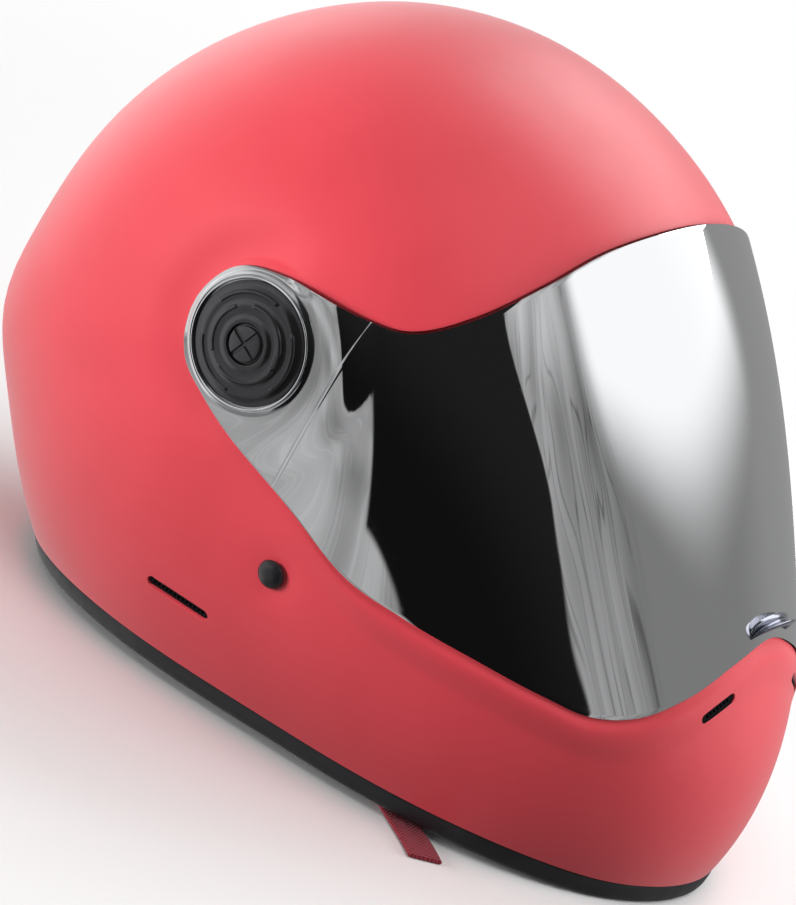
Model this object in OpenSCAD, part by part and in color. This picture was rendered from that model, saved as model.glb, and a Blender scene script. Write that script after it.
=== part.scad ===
// Full face helmet that stands on its rim, with a mirrored visor on two side pivots.
// X runs across the head and the wearer's right is -X, the helmet faces -Y and Z is up.
// All outer forms lie on one skin about the visor's hinge line. The clock angle goes round
// that line, 0 ahead and 90 up, and the lean goes from the middle, 0, out to the hinge, 90.

/* [Shell] */
// Half of the shell's width, measured at the visor hinge
shell_half_w = 118; // [112:1:124]
// Thickness of the shell's wall
shell_wall = 3; // [2.5:0.25:3.5]
// Height of the visor hinge over the floor
hinge_h = 135; // [132:1:138]
// Squareness of the cross-section, 2 for a plain ellipse
skin_power = 2.4; // [2.2:0.1:2.6]
// Height of the lip across the back of the head
ridge_h = 6; // [0:1:8]
// How far the chin bar's rounded upper edge stands out
chin_roll = 1.6; // [0.4:0.2:2]

/* [Visor] */
// Thickness of the visor
visor_wall = 2.2; // [1.8:0.1:2.6]
// Radius of the visor's round ears
ear_r = 26; // [25:0.5:27]
// Gap between the skin and the back of the visor along the brow
brow_gap = 0.6; // [0.5:0.1:1]
// How far the visor's lower edge lies under the skin
visor_sink = 1; // [0.6:0.1:1.4]
// Room for the seal between the shell's seat and the visor's lower edge
seal_room = 2.2; // [2:0.1:2.6]
// Gap along the visor's edge in its seat
edge_gap = 0.8; // [0.5:0.1:1.2]
// Width of the lift tab
tab_w = 24; // [18:1:28]
// How far the lift tab stands out
tab_reach = 7; // [4:0.5:8]

/* [Pivot] */
// Radius of the pivot's base plate
base_r = 22; // [20:0.5:23]
// Radius of the boss that the visor turns on
boss_r = 14; // [12:0.5:16]
// Radius of the ribbed cover
cover_r = 21.4; // [20:0.2:22]
// Height of the cover's middle over the visor's ear
cover_rise = 3.6; // [3:0.2:4]
// Radius of the quarter-turn lock
lock_r = 6.8; // [6:0.2:7.6]
// Width of the bright ring round the cover
ring_w = 2.1; // [1.6:0.1:2.4]
// Height of the bright ring over the visor's ear
ring_h = 1.5; // [1:0.1:2]
// Play between the pivot's moving parts
pivot_play = 0.3; // [0.2:0.05:0.4]

/* [Trim and seal] */
// Height of the rubber trim under the shell
trim_h = 8; // [7:0.5:10]
// Width of the trim's underside
trim_w = 10; // [9:0.5:12]
// How far the rim arches up at the sides
rim_arch = 3; // [2.5:0.25:4]
// Width of the eye port seal
seal_w = 5; // [4:0.5:6]

/* [Liner and pads] */
// Thickness of the impact liner
liner_wall = 24; // [20:1:26]
// Thickness of the chin bar's liner at the front
chin_wall = 20; // [16:1:22]
// Fitting gap between layers
layer_gap = 0.4; // [0.3:0.1:0.6]
// Thickness of the crown, brow and back pads
pad_h = 8; // [6:0.5:10]
// Thickness of the cheek pads at their crown
cheek_h = 17; // [12:1:20]
// Thickness of the neck roll
neck_h = 10; // [8:0.5:12]

/* [Vents] */
// Length of the slot in the chin bar
chin_slot_l = 17.5; // [15:0.5:21]
// Width of the slot in the chin bar
chin_slot_w = 3.2; // [2.8:0.2:4]
// Length of the slot at the side
side_slot_l = 27; // [22:1:30]
// Width of the slot at the side
side_slot_w = 3.6; // [3:0.2:4.4]
// Thickness of the vent mesh
mesh_t = 1; // [0.8:0.1:1.4]

/* [Strap] */
// Width of the chin strap's webbing
strap_w = 20; // [18:0.5:22]
// Thickness of the webbing
strap_t = 1.8; // [1.4:0.1:2]
// Radius of the strap rivet's domed cap
rivet_r = 5.2; // [4.5:0.1:6]
// Radius of the strap rivet's shank
shank_r = 2.5; // [2:0.1:3]
// Radius of the D-rings' wire
wire_r = 1.6; // [1.4:0.1:2]
// Width of the red pull tab
pull_w = 12.7; // [11:0.1:14]
// Thickness of the pull tab
pull_t = 1.4; // [1.2:0.1:1.6]

/* [Hidden] */

$fn = 64;

// Radii of the middle profile about the hinge line, one each 22.5 degrees of clock angle:
// visor, brow, forehead, crown, back of the head, nape, then the closed form under the rim
profile_radii = [134, 124, 114, 108, 109, 113, 118, 127, 139, 153, 162, 176, 184, 192, 242, 205];
clock_step = 360 / len(profile_radii);
ridge_clock = 203;
ridge_spread = 11;

// Half outlines as [side, forward, up] from the hinge's middle, from the brow round to the chin.
// The eye port's edge in the shell
port_edge = [[0, 90, 73], [30, 87, 69.5], [56, 81, 59.5], [77, 74, 46], [93, 68, 31],
    [101, 64, 17], [104, 62, 8], [105, 61, 2], [105.5, 60.5, -3], [106, 60, -8],
    [106.3, 60.3, -13], [106.5, 61, -18], [106.5, 63, -24], [106.3, 67, -31], [105.5, 74, -39],
    [102.5, 88, -46], [96, 105, -50], [87, 121, -53.5], [75, 138, -55.5], [61, 151, -52],
    [43, 160, -44], [24, 164, -33], [0, 165.5, -26]];
// The visor's upper edge up to the ear, the ear's clock angles, and its lower edge
visor_top = [[0, 83.5, 80.5], [30, 82, 77.5], [58, 77.5, 69], [80, 72.5, 56], [97.5, 63, 40.5],
    [108, 49.5, 28.5], [113, 34, 25.5]];
ear_clocks = [84, 130, 175, 215, 250];
visor_low = [[117, 8, -32.8], [116, 36, -43.5], [112.6, 62, -55], [108, 86, -59],
    [99, 113, -62], [87, 135, -65], [77, 147.5, -66.5], [64, 159, -63], [47, 166, -53.5],
    [25, 168.4, -42], [0, 167.4, -35.5]];
// Bearings of the rim's points seen from above, 0 at the nape and 180 at the chin
rim_bearing = [0, 14, 28, 40, 51, 60, 67, 74, 80, 86, 91, 97, 103, 111, 120, 129, 138, 146, 153,
    160, 166, 172, 180];
rim_middle = 35;

stations = len(port_edge) - 1;
steps = 2;
half = stations * steps;
loop = 2 * half;

function wrapped(i, n) = ((i % n) + n) % n;
function smooth(a, b, x) = let (u = max(0, min(1, (x - a) / (b - a)))) u * u * (3 - 2 * u);
function mix(a, b, u) = a + (b - a) * u;

// Middle profile: a uniform cubic B-spline over the radii, and the lip across the back
function ridge(c) = ridge_h * exp(-pow((c - ridge_clock) / ridge_spread, 2));
function profile_r(c) = let (s = wrapped(c, 360) / clock_step, i = floor(s), f = s - i,
    n = len(profile_radii),
    w = [pow(1 - f, 3), 3 * pow(f, 3) - 6 * f * f + 4, -3 * pow(f, 3) + 3 * f * f + 3 * f + 1,
        pow(f, 3)])
    (w[0] * profile_radii[wrapped(i - 1, n)] + w[1] * profile_radii[i % n]
    + w[2] * profile_radii[(i + 1) % n] + w[3] * profile_radii[(i + 2) % n]) / 6
    + ridge(wrapped(c, 360));

rim_clocks = [for (c = [-40:1:240]) if (profile_r(c) * sin(c) > trim_h - hinge_h) c];
front_reach = max([for (c = rim_clocks) profile_r(c) * cos(c)]);
back_reach = max([for (c = rim_clocks) -profile_r(c) * cos(c)]);
// The hinge lies this far behind the middle of the helmet's length
hinge_y = (front_reach - back_reach) / 2;

// Clock angle and lean of a point given as [side, forward, up]
function clock_of(p) = wrapped(atan2(p[2], p[1]), 360);
function lean_of(p) = let (c = clock_of(p), r = norm([p[1], p[2]]))
    atan2(p[0] / shell_half_w, pow(r / profile_r(c), skin_power / 2));
function spot(p) = [clock_of(p), lean_of(p)];
// The point on the skin, or off it by a distance, as [side, forward, up]
function skin(s, off = 0) = let (r = (profile_r(s[0]) + off) * pow(cos(s[1]), 2 / skin_power))
    [(shell_half_w + off) * sin(s[1]), r * cos(s[0]), r * sin(s[0])];
function world(p, sign) = [sign * p[0], hinge_y - p[1], hinge_h + p[2]];

// Catmull-Rom curve from b to c between the neighbours a and d
function curve(a, b, c, d, f) =
    b + f * ((c - a) / 2 + f * ((a - 2.5 * b + 2 * c - d / 2) + f * (1.5 * (b - c) + (d - a) / 2)));
// The curve through a half outline, mirrored at both ends
function outline_at(pts, s) = let (n = len(pts) - 1, i = min(n - 1, floor(s)),
    flip = [-1, 1, 1],
    a = i > 0 ? pts[i - 1] : [for (k = [0:2]) flip[k] * pts[1][k]],
    d = i < n - 1 ? pts[i + 2] : [for (k = [0:2]) flip[k] * pts[n - 1][k]])
    curve(a, pts[i], pts[i + 1], d, s - i);

function ear_point(c) = [shell_half_w, ear_r * cos(c), ear_r * sin(c)];
visor_edge = concat(visor_top, [for (c = ear_clocks) ear_point(c)], visor_low);

// Height of the shell's lower edge over the floor, and of the trim's underside
function arch_at(x) = rim_arch * smooth(40, 90, abs(x));
function rim_z(x) = trim_h + arch_at(x);
// The rim's point on one bearing, found by halving
function rim_inside(p) = pow(norm([p[1], p[2]]) / profile_r(clock_of(p)), skin_power)
    + pow(p[0] / shell_half_w, 2) < 1;
function rim_try(b, r) = let (x = r * sin(b)) [x, rim_middle - r * cos(b), rim_z(x) - hinge_h];
rim_near = 20;
rim_far = 230;
function rim_search(b, lo, hi, n) = n == 0 ? (lo + hi) / 2 : let (m = (lo + hi) / 2)
    rim_inside(rim_try(b, m)) ? rim_search(b, m, hi, n - 1) : rim_search(b, lo, m, n - 1);
function bearing_at(s) = let (i = min(stations - 1, floor(s)))
    mix(rim_bearing[i], rim_bearing[i + 1], s - i);
function rim_point(s) = let (b = bearing_at(s)) rim_try(b, rim_search(b, rim_near, rim_far, 24));

// Stations along the half outline and their lines from the port over the visor's edge to the rim
station_list = [for (i = [0:half]) i / steps];
port_list = [for (s = station_list) outline_at(port_edge, s)];
visor_list = [for (s = station_list) outline_at(visor_edge, s)];
rim_list = [for (s = station_list) rim_point(s)];
// Points on the way from the port's edge to the visor's edge, at a distance past the latter
function seat_spot(i, u) = spot(mix(port_list[i], visor_list[i], u));
function past_edge(i, d) = let (a = port_list[i], b = visor_list[i]) spot(b + d * (b - a) / norm(b - a));
function port_in(i, d) = let (a = port_list[i], b = visor_list[i]) spot(a + d * (b - a) / norm(b - a));
function edge_len(i) = norm(rim_list[i] - visor_list[i]);
// A share of the way from the shell's step outside the visor to the rim
function wall_spot(i, v) = mix(past_edge(i, edge_gap + step_w / 2), spot(rim_list[i]), v);

seat_depth = visor_sink + seal_room;
// The flat floor under each pivot lies this far inside the shell's half width
floor_sink = seat_depth + 0.6;
step_w = 0.8;
roll_width = 4;
roll_fade = 14;
wall_rows = 13;
seat_shares = [0, 0.3, 0.6, 0.85];
// The chin bar's edge swells from the ear's underside forwards
function roll_at(i) = chin_roll * smooth(12, 15, i / steps);
function wall_share(i, k) = k == 0 ? 0 : k == 1 ? roll_width / edge_len(i)
    : mix(roll_fade / edge_len(i), 1, (k - 2) / wall_rows);
function roll_share(k) = k == 0 ? 0 : k == 1 ? 1 : k == 2 ? 0.7 : 0;

// Rows of the shell from the port to the rim: a spot, the outer skin's offset, and whether the
// row lies on the flat floor's side of the step
seat_count = len(seat_shares) + 1;
row_count = seat_count + wall_rows + 3;
function row_spot(i, k) = k < seat_count - 1 ? seat_spot(i, seat_shares[k])
    : k == seat_count - 1 ? past_edge(i, edge_gap - step_w / 2) : wall_spot(i, wall_share(i, k - seat_count));
function row_off(i, k) = k < seat_count ? -seat_depth : roll_at(i) * roll_share(k - seat_count);
function row_point(i, k, depth) = let (p = skin(row_spot(i, k), row_off(i, k) - depth))
    k < seat_count ? [min(p[0], shell_half_w - floor_sink - depth), p[1], p[2]] : p;

function half_of(j) = j <= half ? j : loop - j;
function side_of(j) = j <= half ? 1 : -1;
function shell_grid(depth, k0, k1, j0, j1) = [for (k = [k0:k1]) [for (j = [j0:j1])
    world(row_point(half_of(wrapped(j, loop)), k, depth), side_of(wrapped(j, loop)))]];

// Closed solid between two grids of points, outer and inner, joined round their edges
function tri_pair(a, b, c, d) = [[a, c, b], [a, d, c]];
module sheet(outer, inner, ring = false) {
    rows = len(outer);
    cols = len(outer[0]);
    n = rows * cols;
    last = ring ? cols : cols - 1;
    points = concat([for (r = outer) each r], [for (r = inner) each r]);
    function id(r, c, s) = s * n + r * cols + c % cols;
    faces = concat(
        [for (r = [0:rows - 2]) for (c = [0:last - 1]) each
            tri_pair(id(r, c, 0), id(r, c + 1, 0), id(r + 1, c + 1, 0), id(r + 1, c, 0))],
        [for (r = [0:rows - 2]) for (c = [0:last - 1]) each
            tri_pair(id(r, c, 1), id(r + 1, c, 1), id(r + 1, c + 1, 1), id(r, c + 1, 1))],
        [for (c = [0:last - 1]) each
            tri_pair(id(0, c + 1, 0), id(0, c, 0), id(0, c, 1), id(0, c + 1, 1))],
        [for (c = [0:last - 1]) each tri_pair(id(rows - 1, c, 0), id(rows - 1, c + 1, 0),
            id(rows - 1, c + 1, 1), id(rows - 1, c, 1))],
        ring ? [] : [for (r = [0:rows - 2]) each
            tri_pair(id(r, 0, 0), id(r + 1, 0, 0), id(r + 1, 0, 1), id(r, 0, 1))],
        ring ? [] : [for (r = [0:rows - 2]) each tri_pair(id(r + 1, cols - 1, 0),
            id(r, cols - 1, 0), id(r, cols - 1, 1), id(r + 1, cols - 1, 1))]);
    polyhedron(points, faces, convexity = 10);
}
// Closed ring swept round the loop from one cross-section for each place
module hoop(sections) {
    m = len(sections[0]);
    n = len(sections);
    points = [for (s = sections) each s];
    faces = [for (j = [0:n - 1]) for (k = [0:m - 1]) each tri_pair(j * m + k,
        ((j + 1) % n) * m + k, ((j + 1) % n) * m + (k + 1) % m, j * m + (k + 1) % m)];
    polyhedron(points, faces, convexity = 10);
}

// Places on the skin that other pieces line up with
rivet_at = [112, 36.4, -69.6];
chin_slot_at = [32.4, 173.7, -56.2];
chin_slot_tilt = 78;
side_slot_at = [104, 3, -99];
slot_inset = 1.2;
// The chin slot lies on the swell of the rolled edge
slot_lift = 0.8 * chin_roll;

// Puts its children on the skin with Z along the skin's outward normal, X along the side view's
// forward direction as near as can be
function normal_at(s) = let (e = 0.5, p = skin(s), a = skin([s[0] + e, s[1]]) - p,
    b = skin([s[0], s[1] + e]) - p, n = cross(a, b)) n / norm(n) * (n * p > 0 ? 1 : -1);
module on_skin(at, sign, off = 0) {
    s = spot(at);
    n = normal_at(s);
    p = skin(s, off);
    f = [0, 1, 0] - n[1] * n;
    x = f / norm(f);
    y = cross(n, x);
    w = world(p, 1);
    mirror([sign < 0 ? 1 : 0, 0, 0])
        multmatrix([[x[0], y[0], n[0], w[0]], [-x[1], -y[1], -n[1], w[1]],
            [x[2], y[2], n[2], w[2]], [0, 0, 0, 1]]) children();
}

module shell_form() {
    sheet(shell_grid(0, 0, row_count - 1, 0, loop - 1),
        shell_grid(shell_wall, 0, row_count - 1, 0, loop - 1), true);
}
module slot(l, w, h) {
    cube([l - w, w, h], center = true);
    for (d = [-1, 1]) translate([d * (l - w) / 2, 0, 0]) cylinder(r = w / 2, h = h, center = true);
}

// The liners lie under the shell on its own rows and on every second of its lines
liner_depth = shell_wall + 2.5 * layer_gap;
inside_depth = liner_depth + liner_wall;
liner_margin = 10;
pad_gap = 2 * layer_gap;
// Behind the head, where the lip bends the liner's faces, the pads stand off a little more
nape_gap = 3.5 * layer_gap;
function liner_wall_at(i) = mix(liner_wall, chin_wall, smooth(17, 20, i / steps));
function liner_spot(i, k) = k == seat_count - 1 ? past_edge(i, edge_gap + 1.9)
    : k == seat_count ? past_edge(i, edge_gap + 2.8) : row_spot(i, k);
function liner_full(i, k, depth) = let (off = k < seat_count ? -seat_depth : 0,
    p = skin(liner_spot(i, k), off - depth))
    k < seat_count ? [min(p[0], shell_half_w - floor_sink - depth), p[1], p[2]] : p;
// The last rows stop short of the shell's rim, on the straight lines between the shell's rows
function end_row(i) = row_count - 1 - liner_margin * wall_rows / (edge_len(i) - roll_fade);
function liner_row(i, k) = k <= end_row(i) ? k : mix(end_row(i), k, 0.1);
function liner_out(i, k) = let (q = liner_row(i, k), f = floor(q), d = liner_depth)
    q == f ? liner_full(i, f, d) : mix(liner_full(i, f, d), liner_full(i, f + 1, d), q - f);
function liner_in(i, k, h = 0) = let (q = liner_row(i, k), f = floor(q),
    d = liner_depth + liner_wall_at(i) + h, a = skin(liner_spot(i, f), -d))
    q == f ? a : mix(a, skin(liner_spot(i, f + 1), -d), q - f);
module liner_part(j0, j1) {
    rows = [0:row_count - 1];
    lines = [j0:steps:j1];
    function side(j) = side_of(wrapped(j, loop));
    function line(j) = half_of(wrapped(j, loop));
    sheet([for (k = rows) [for (j = lines) world(liner_out(line(j), k), side(j))]],
        [for (k = rows) [for (j = lines) world(liner_in(line(j), k), side(j))]]);
}
// The liners leave a channel for the strap on each side, between these stations
liner_end = 11 * steps;
chin_start = 14 * steps;

// A cushion on the inside: full at its crown, drawn in round its edges
edge_share = 0.3;
function crown(a, b) = mix(edge_share, 1, (1 - pow(2 * a - 1, 4)) * (1 - pow(2 * b - 1, 4)));
// Point on the impact liner's inner face, at a row and a station that may lie between lines
function lining(r, c, h) = let (k = floor(r), u = r - k, i = floor(abs(c)), v = abs(c) - i,
    a = mix(liner_in(steps * i, k, h), liner_in(steps * i, k + 1, h), u),
    b = mix(liner_in(steps * (i + 1), k, h), liner_in(steps * (i + 1), k + 1, h), u))
    world(mix(a, b, v), c < 0 ? -1 : 1);
// A cushion between two of the liner's rows and as many stations to each side
module top_pad(r0, r1, c, height, rows, cols, gap) {
    function at(a, b, h) = lining(mix(r0, r1, a / rows), mix(-c, c, b / cols), gap + h);
    sheet([for (a = [0:rows]) [for (b = [0:cols]) at(a, b, 0)]],
        [for (a = [0:rows]) [for (b = [0:cols]) at(a, b, height * crown(a / rows, b / cols))]]);
}
// A cushion along the lines of stations i0 to i1, at shares v0 to v1 of the way to the rim
module side_pad(i0, i1, v0, v1, height, rows) {
    function at(r, i, h) = world(skin(wall_spot(i, mix(v0, v1, r / rows)), -inside_depth
        - pad_gap - h), 1);
    sheet([for (r = [0:rows]) [for (i = [i0:i1]) at(r, i, 0)]],
        [for (r = [0:rows]) [for (i = [i0:i1])
            at(r, i, height * crown(r / rows, (i - i0) / (i1 - i0)))]]);
}

// The visor is a bent sheet between its upper edge, which stands off the skin, and its lower
// edge, which sinks under it at the front. Stations on the two edges are paired from the middle
// back to the ear, each pair with the height of the bulge between them
visor_pairs = [[0, 22, 5.6], [1, 21, 5.6], [2, 19.6, 5.6], [3, 18, 5.4], [4, 16.5, 4.8],
    [5, 15, 3.9], [6, 14, 2.8], [7, 12.3, 0.6], [8, 10.5, 0], [8.9, 9.15, 0]];
bulge_skew = 0.33;
visor_steps = 3;
visor_half = (len(visor_pairs) - 1) * visor_steps;
visor_rows = 10;
ear_lift = 0.4;
ear_flat = ear_r - 2;
ear_blend = 46;
function pair_at(u) = let (n = len(visor_pairs) - 1, i = min(n - 1, floor(u)),
    b = visor_pairs[i], c = visor_pairs[i + 1])
    curve(i > 0 ? visor_pairs[i - 1] : [-c[0], 2 * b[1] - c[1], c[2]], b, c,
        i < n - 1 ? visor_pairs[i + 2] : 2 * c - b, u - i);
sink_start = 50;
sink_end = 110;
function bulge(w) = 4 * w * (1 - w) * (1 + bulge_skew * (1 - 2 * w));
function visor_point(u, w, depth) = let (e = pair_at(u), low = outline_at(visor_edge, e[1]),
    sunk = (brow_gap + visor_sink) * smooth(sink_start, sink_end, low[1]),
    a = skin(spot(outline_at(visor_edge, e[0])), brow_gap + depth),
    c = skin(spot(low), brow_gap - sunk + depth), q = mix(a, c, w) + e[2] * bulge(w) * (a + c) / norm(a + c),
    b = smooth(ear_flat, ear_blend, norm([q[1], q[2]])))
    [mix(shell_half_w + ear_lift + depth, q[0], b), q[1], q[2]];
function visor_grid(depth) = [for (r = [0:visor_rows]) [for (j = [-visor_half:visor_half])
    world(visor_point(abs(j) / visor_steps, r / visor_rows, depth), j < 0 ? 1 : -1)]];

// Hinge frame: Z runs outward along the hinge line, from the helmet's middle
module at_hinge(sign) {
    translate([0, hinge_y, hinge_h]) mirror([sign < 0 ? 1 : 0, 0, 0]) rotate([0, 90, 0]) children();
}
base_bottom = shell_half_w - floor_sink;
base_top = shell_half_w + ear_lift - pivot_play;
ear_face = shell_half_w + ear_lift + visor_wall;
cover_bottom = ear_face + pivot_play;
cover_edge = 1.2;
lock_shaft_r = 3.6;
lock_ledge = 1;
screw_ring = 18;
screw_head_r = 2.2;
screw_head_h = 1.1;
screw_r = 1.2;
screw_depth = 2.4;
spring_ring = 18;
spring_t = 0.9;
spring_h = 1.8;
spring_turn = 70;

module screw_places() {
    for (a = [0, 180]) rotate(a) translate([screw_ring, 0, 0]) children();
}

module outer_shell() {
    color([0.86, 0.2, 0.25]) difference() {
        shell_form();
        for (sign = [-1, 1]) {
            on_skin(rivet_at, sign) cylinder(r = shank_r + 0.1, h = 4 * shell_wall, center = true);
            on_skin(chin_slot_at, sign, slot_lift) rotate(chin_slot_tilt)
                slot(chin_slot_l, chin_slot_w, 5 * shell_wall);
            on_skin(side_slot_at, sign) slot(side_slot_l, side_slot_w, 5 * shell_wall);
            at_hinge(sign) screw_places() translate([0, 0, base_bottom - screw_depth - 0.2])
                cylinder(r = screw_r + 0.1, h = screw_depth + 1);
        }
    }
}
module impact_liner() { color([0.12, 0.12, 0.13]) liner_part(-liner_end, liner_end); }
module chin_liner() { color([0.12, 0.12, 0.13]) liner_part(chin_start, loop - chin_start); }
module crown_pad() { color([0.16, 0.16, 0.17]) top_pad(8.5, 12.5, 2.5, pad_h, 8, 10, pad_gap); }
module back_pad() { color([0.16, 0.16, 0.17]) top_pad(13.5, 17, 4, pad_h, 7, 16, nape_gap); }
module brow_pad() { color([0.16, 0.16, 0.17]) top_pad(6.5, 8, 4, pad_h, 6, 16, pad_gap); }
module neck_roll() { color([0.16, 0.16, 0.17]) top_pad(17.5, 19.25, 6, neck_h, 7, 24, nape_gap); }
module cheek_pad(sign) {
    color([0.16, 0.16, 0.17]) mirror([sign < 0 ? 1 : 0, 0, 0])
        side_pad(10 * steps, 17 * steps, 0.14, 0.86, cheek_h, 10);
}

module port_seal() {
    back = shell_wall + seat_depth;
    // The seal's top keeps under the visor's back, which sags at the brow and along the chin
    function sag(s) = 1.3 * (1 - smooth(2, 4.5, s))
        + 1.2 * smooth(10, 13, s) * (1 - smooth(19.5, 21, s));
    function top(i) = brow_gap - layer_gap - sag(i / steps) - (brow_gap + visor_sink)
        * smooth(sink_start, sink_end, port_list[i][1]) * smooth(7, 11, i / steps);
    function ring(i, sign) = [for (q = [[-0.3, -seat_depth + 0.2], [-0.3, -back], [-1.6, -back],
        [-1, top(i)], [seal_w - 0.6, top(i)], [seal_w, -seat_depth + 0.2]])
        world(skin(port_in(i, q[0]), q[1]), sign)];
    color([0.1, 0.1, 0.1]) hoop([for (j = [0:loop - 1]) ring(half_of(j), side_of(j))]);
}

trim_lip = 6;
trim_play = 0.5;
module rim_trim() {
    // The cross-section leans in with the shell's own slope at its lower edge
    function ring(i, sign) = let (n = normal_at(spot(rim_list[i])), flat = norm([n[0], n[1]]),
        lean = max(0, min(1, -n[2] / flat) - 0.3), back = shell_wall / flat + trim_play,
        section = [[-0.5, -0.1], [-0.3, -3], [-1, 1.6 - trim_h], [-2.6, -trim_h],
            [-trim_w, -trim_h], [-trim_w - 1.2, 1.5 - trim_h], [-trim_w - 1.2, -1.5],
            [-back - 2, 0.2], [-back - 1.6, trim_lip], [-back, trim_lip], [-back, -0.1]])
        [for (q = section) let (d = q[0] + lean * q[1], p = rim_list[i])
            world([p[0] + d * n[0] / flat, p[1] + d * n[1] / flat, p[2] + q[1]], sign)];
    color([0.13, 0.13, 0.14]) hoop([for (j = [0:loop - 1]) ring(half_of(j), side_of(j))]);
}

mesh_play = 0.25;
mesh_pitch = 1.8;
mesh_hole = 1.1;
module mesh_plate(l, w) {
    color([0.1, 0.1, 0.1]) translate([0, 0, -slot_inset - mesh_t / 2]) difference() {
        slot(l - 2 * mesh_play, w - 2 * mesh_play, mesh_t);
        for (i = [-floor((l - w) / 2 / mesh_pitch):floor((l - w) / 2 / mesh_pitch)])
            translate([i * mesh_pitch, 0, 0]) cube([mesh_hole, mesh_hole, 2 * mesh_t], center = true);
    }
}
module chin_vent_mesh(sign) {
    on_skin(chin_slot_at, sign, slot_lift) rotate(chin_slot_tilt) mesh_plate(chin_slot_l, chin_slot_w);
}
module side_vent_mesh(sign) { on_skin(side_slot_at, sign) mesh_plate(side_slot_l, side_slot_w); }

module pivot_base(sign) {
    color([0.15, 0.15, 0.16]) at_hinge(sign) difference() {
        union() {
            translate([0, 0, base_bottom]) cylinder(r = base_r, h = base_top - base_bottom);
            translate([0, 0, base_bottom]) cylinder(r = boss_r, h = cover_bottom - base_bottom);
        }
        translate([0, 0, base_bottom - 1])
            cylinder(r = lock_shaft_r + pivot_play, h = cover_bottom - base_bottom + 2);
        screw_places() {
            translate([0, 0, base_bottom - 1]) cylinder(r = screw_r + 0.1, h = 10);
            translate([0, 0, base_top - screw_head_h - 0.1]) cylinder(r = screw_head_r + 0.15, h = 5);
        }
        translate([0, 0, base_top - spring_h - 0.2]) rotate(90 - spring_turn / 2 - 4)
            rotate_extrude(angle = spring_turn + 8)
                translate([spring_ring - spring_t / 2 - 0.3, 0]) square([spring_t + 0.6, 5]);
    }
}
module base_screws(sign) {
    color([0.6, 0.6, 0.62]) at_hinge(sign) screw_places() {
        translate([0, 0, base_top - screw_head_h]) cylinder(r = screw_head_r, h = screw_head_h - 0.1);
        translate([0, 0, base_bottom - screw_depth])
            cylinder(r = screw_r, h = base_top - screw_head_h - base_bottom + screw_depth);
    }
}
module detent_spring(sign) {
    color([0.7, 0.7, 0.72]) at_hinge(sign) translate([0, 0, base_top - spring_h - 0.1])
        rotate(90 - spring_turn / 2) rotate_extrude(angle = spring_turn)
            translate([spring_ring - spring_t / 2, 0]) square([spring_t, spring_h]);
}
module pivot_ring(sign) {
    inner = cover_r + pivot_play;
    color([0.8, 0.8, 0.82]) at_hinge(sign) translate([0, 0, ear_face]) rotate_extrude()
        polygon([[inner, 0], [inner + ring_w, 0], [inner + ring_w, 0.3 * ring_h],
            [inner + 0.45 * ring_w, ring_h], [inner, 0.8 * ring_h]]);
}
// The cover's outside climbs from its edge to the middle in shallow waves
waves = 3;
wave_h = 0.35;
function cover_top(r) = let (u = (r - lock_r) / (cover_r - lock_r))
    mix(cover_rise, cover_edge, pow(u, 1.3)) + wave_h * sin(360 * waves * u) * (1 - u) * 1.4;
module pivot_cover(sign) {
    inner = lock_r + pivot_play;
    bore = lock_shaft_r + pivot_play;
    color([0.08, 0.08, 0.09]) at_hinge(sign) translate([0, 0, cover_bottom]) rotate_extrude()
        polygon(concat([[bore, 0], [cover_r, 0]],
            [for (k = [0:18]) let (r = mix(cover_r, inner, k / 18)) [r, cover_top(r)]],
            [[inner, lock_ledge], [bore, lock_ledge]]));
}
slot_w = 0.9;
module pivot_lock(sign) {
    top = cover_rise + 0.3;
    color([0.14, 0.14, 0.15]) at_hinge(sign) translate([0, 0, cover_bottom]) difference() {
        union() {
            translate([0, 0, lock_ledge + 0.05]) cylinder(r = lock_r, h = top - lock_ledge - 0.05);
            translate([0, 0, base_bottom - cover_bottom + 0.3])
                cylinder(r = lock_shaft_r, h = cover_bottom - base_bottom + lock_ledge);
        }
        for (a = [30, 120]) rotate(a) translate([0, 0, top])
            cube([2 * lock_r - 1.6, slot_w, 1.6], center = true);
    }
}

module visor() {
    color([0.75, 0.77, 0.8, 0.9]) difference() {
        sheet(visor_grid(visor_wall), visor_grid(0));
        for (sign = [-1, 1]) at_hinge(sign) translate([0, 0, shell_half_w - 2])
            cylinder(r = boss_r + pivot_play, h = 8);
    }
}
tab_t = 1.4;
tab_lip = 3;
tab_tilt = 18;
module lift_tab() {
    r = (tab_w * tab_w / 4 + tab_reach * tab_reach) / (2 * tab_reach);
    p = visor_point(0, 0.985, visor_wall + 0.1);
    module half_disc(r, h) {
        linear_extrude(h) difference() {
            circle(r);
            translate([-2 * r, tab_reach - r]) square([4 * r, 4 * r]);
        }
    }
    color([0.75, 0.76, 0.78]) translate(world(p, 1)) rotate([-tab_tilt, 0, 0])
        mirror([0, 1, 0]) translate([0, tab_reach - r, 0]) mirror([0, 1, 0]) {
            half_disc(r, tab_t);
            difference() {
                half_disc(r, tab_lip);
                translate([0, 0, -1]) cylinder(r = r - 1.2, h = 2 * tab_lip + 2);
            }
        }
}

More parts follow.
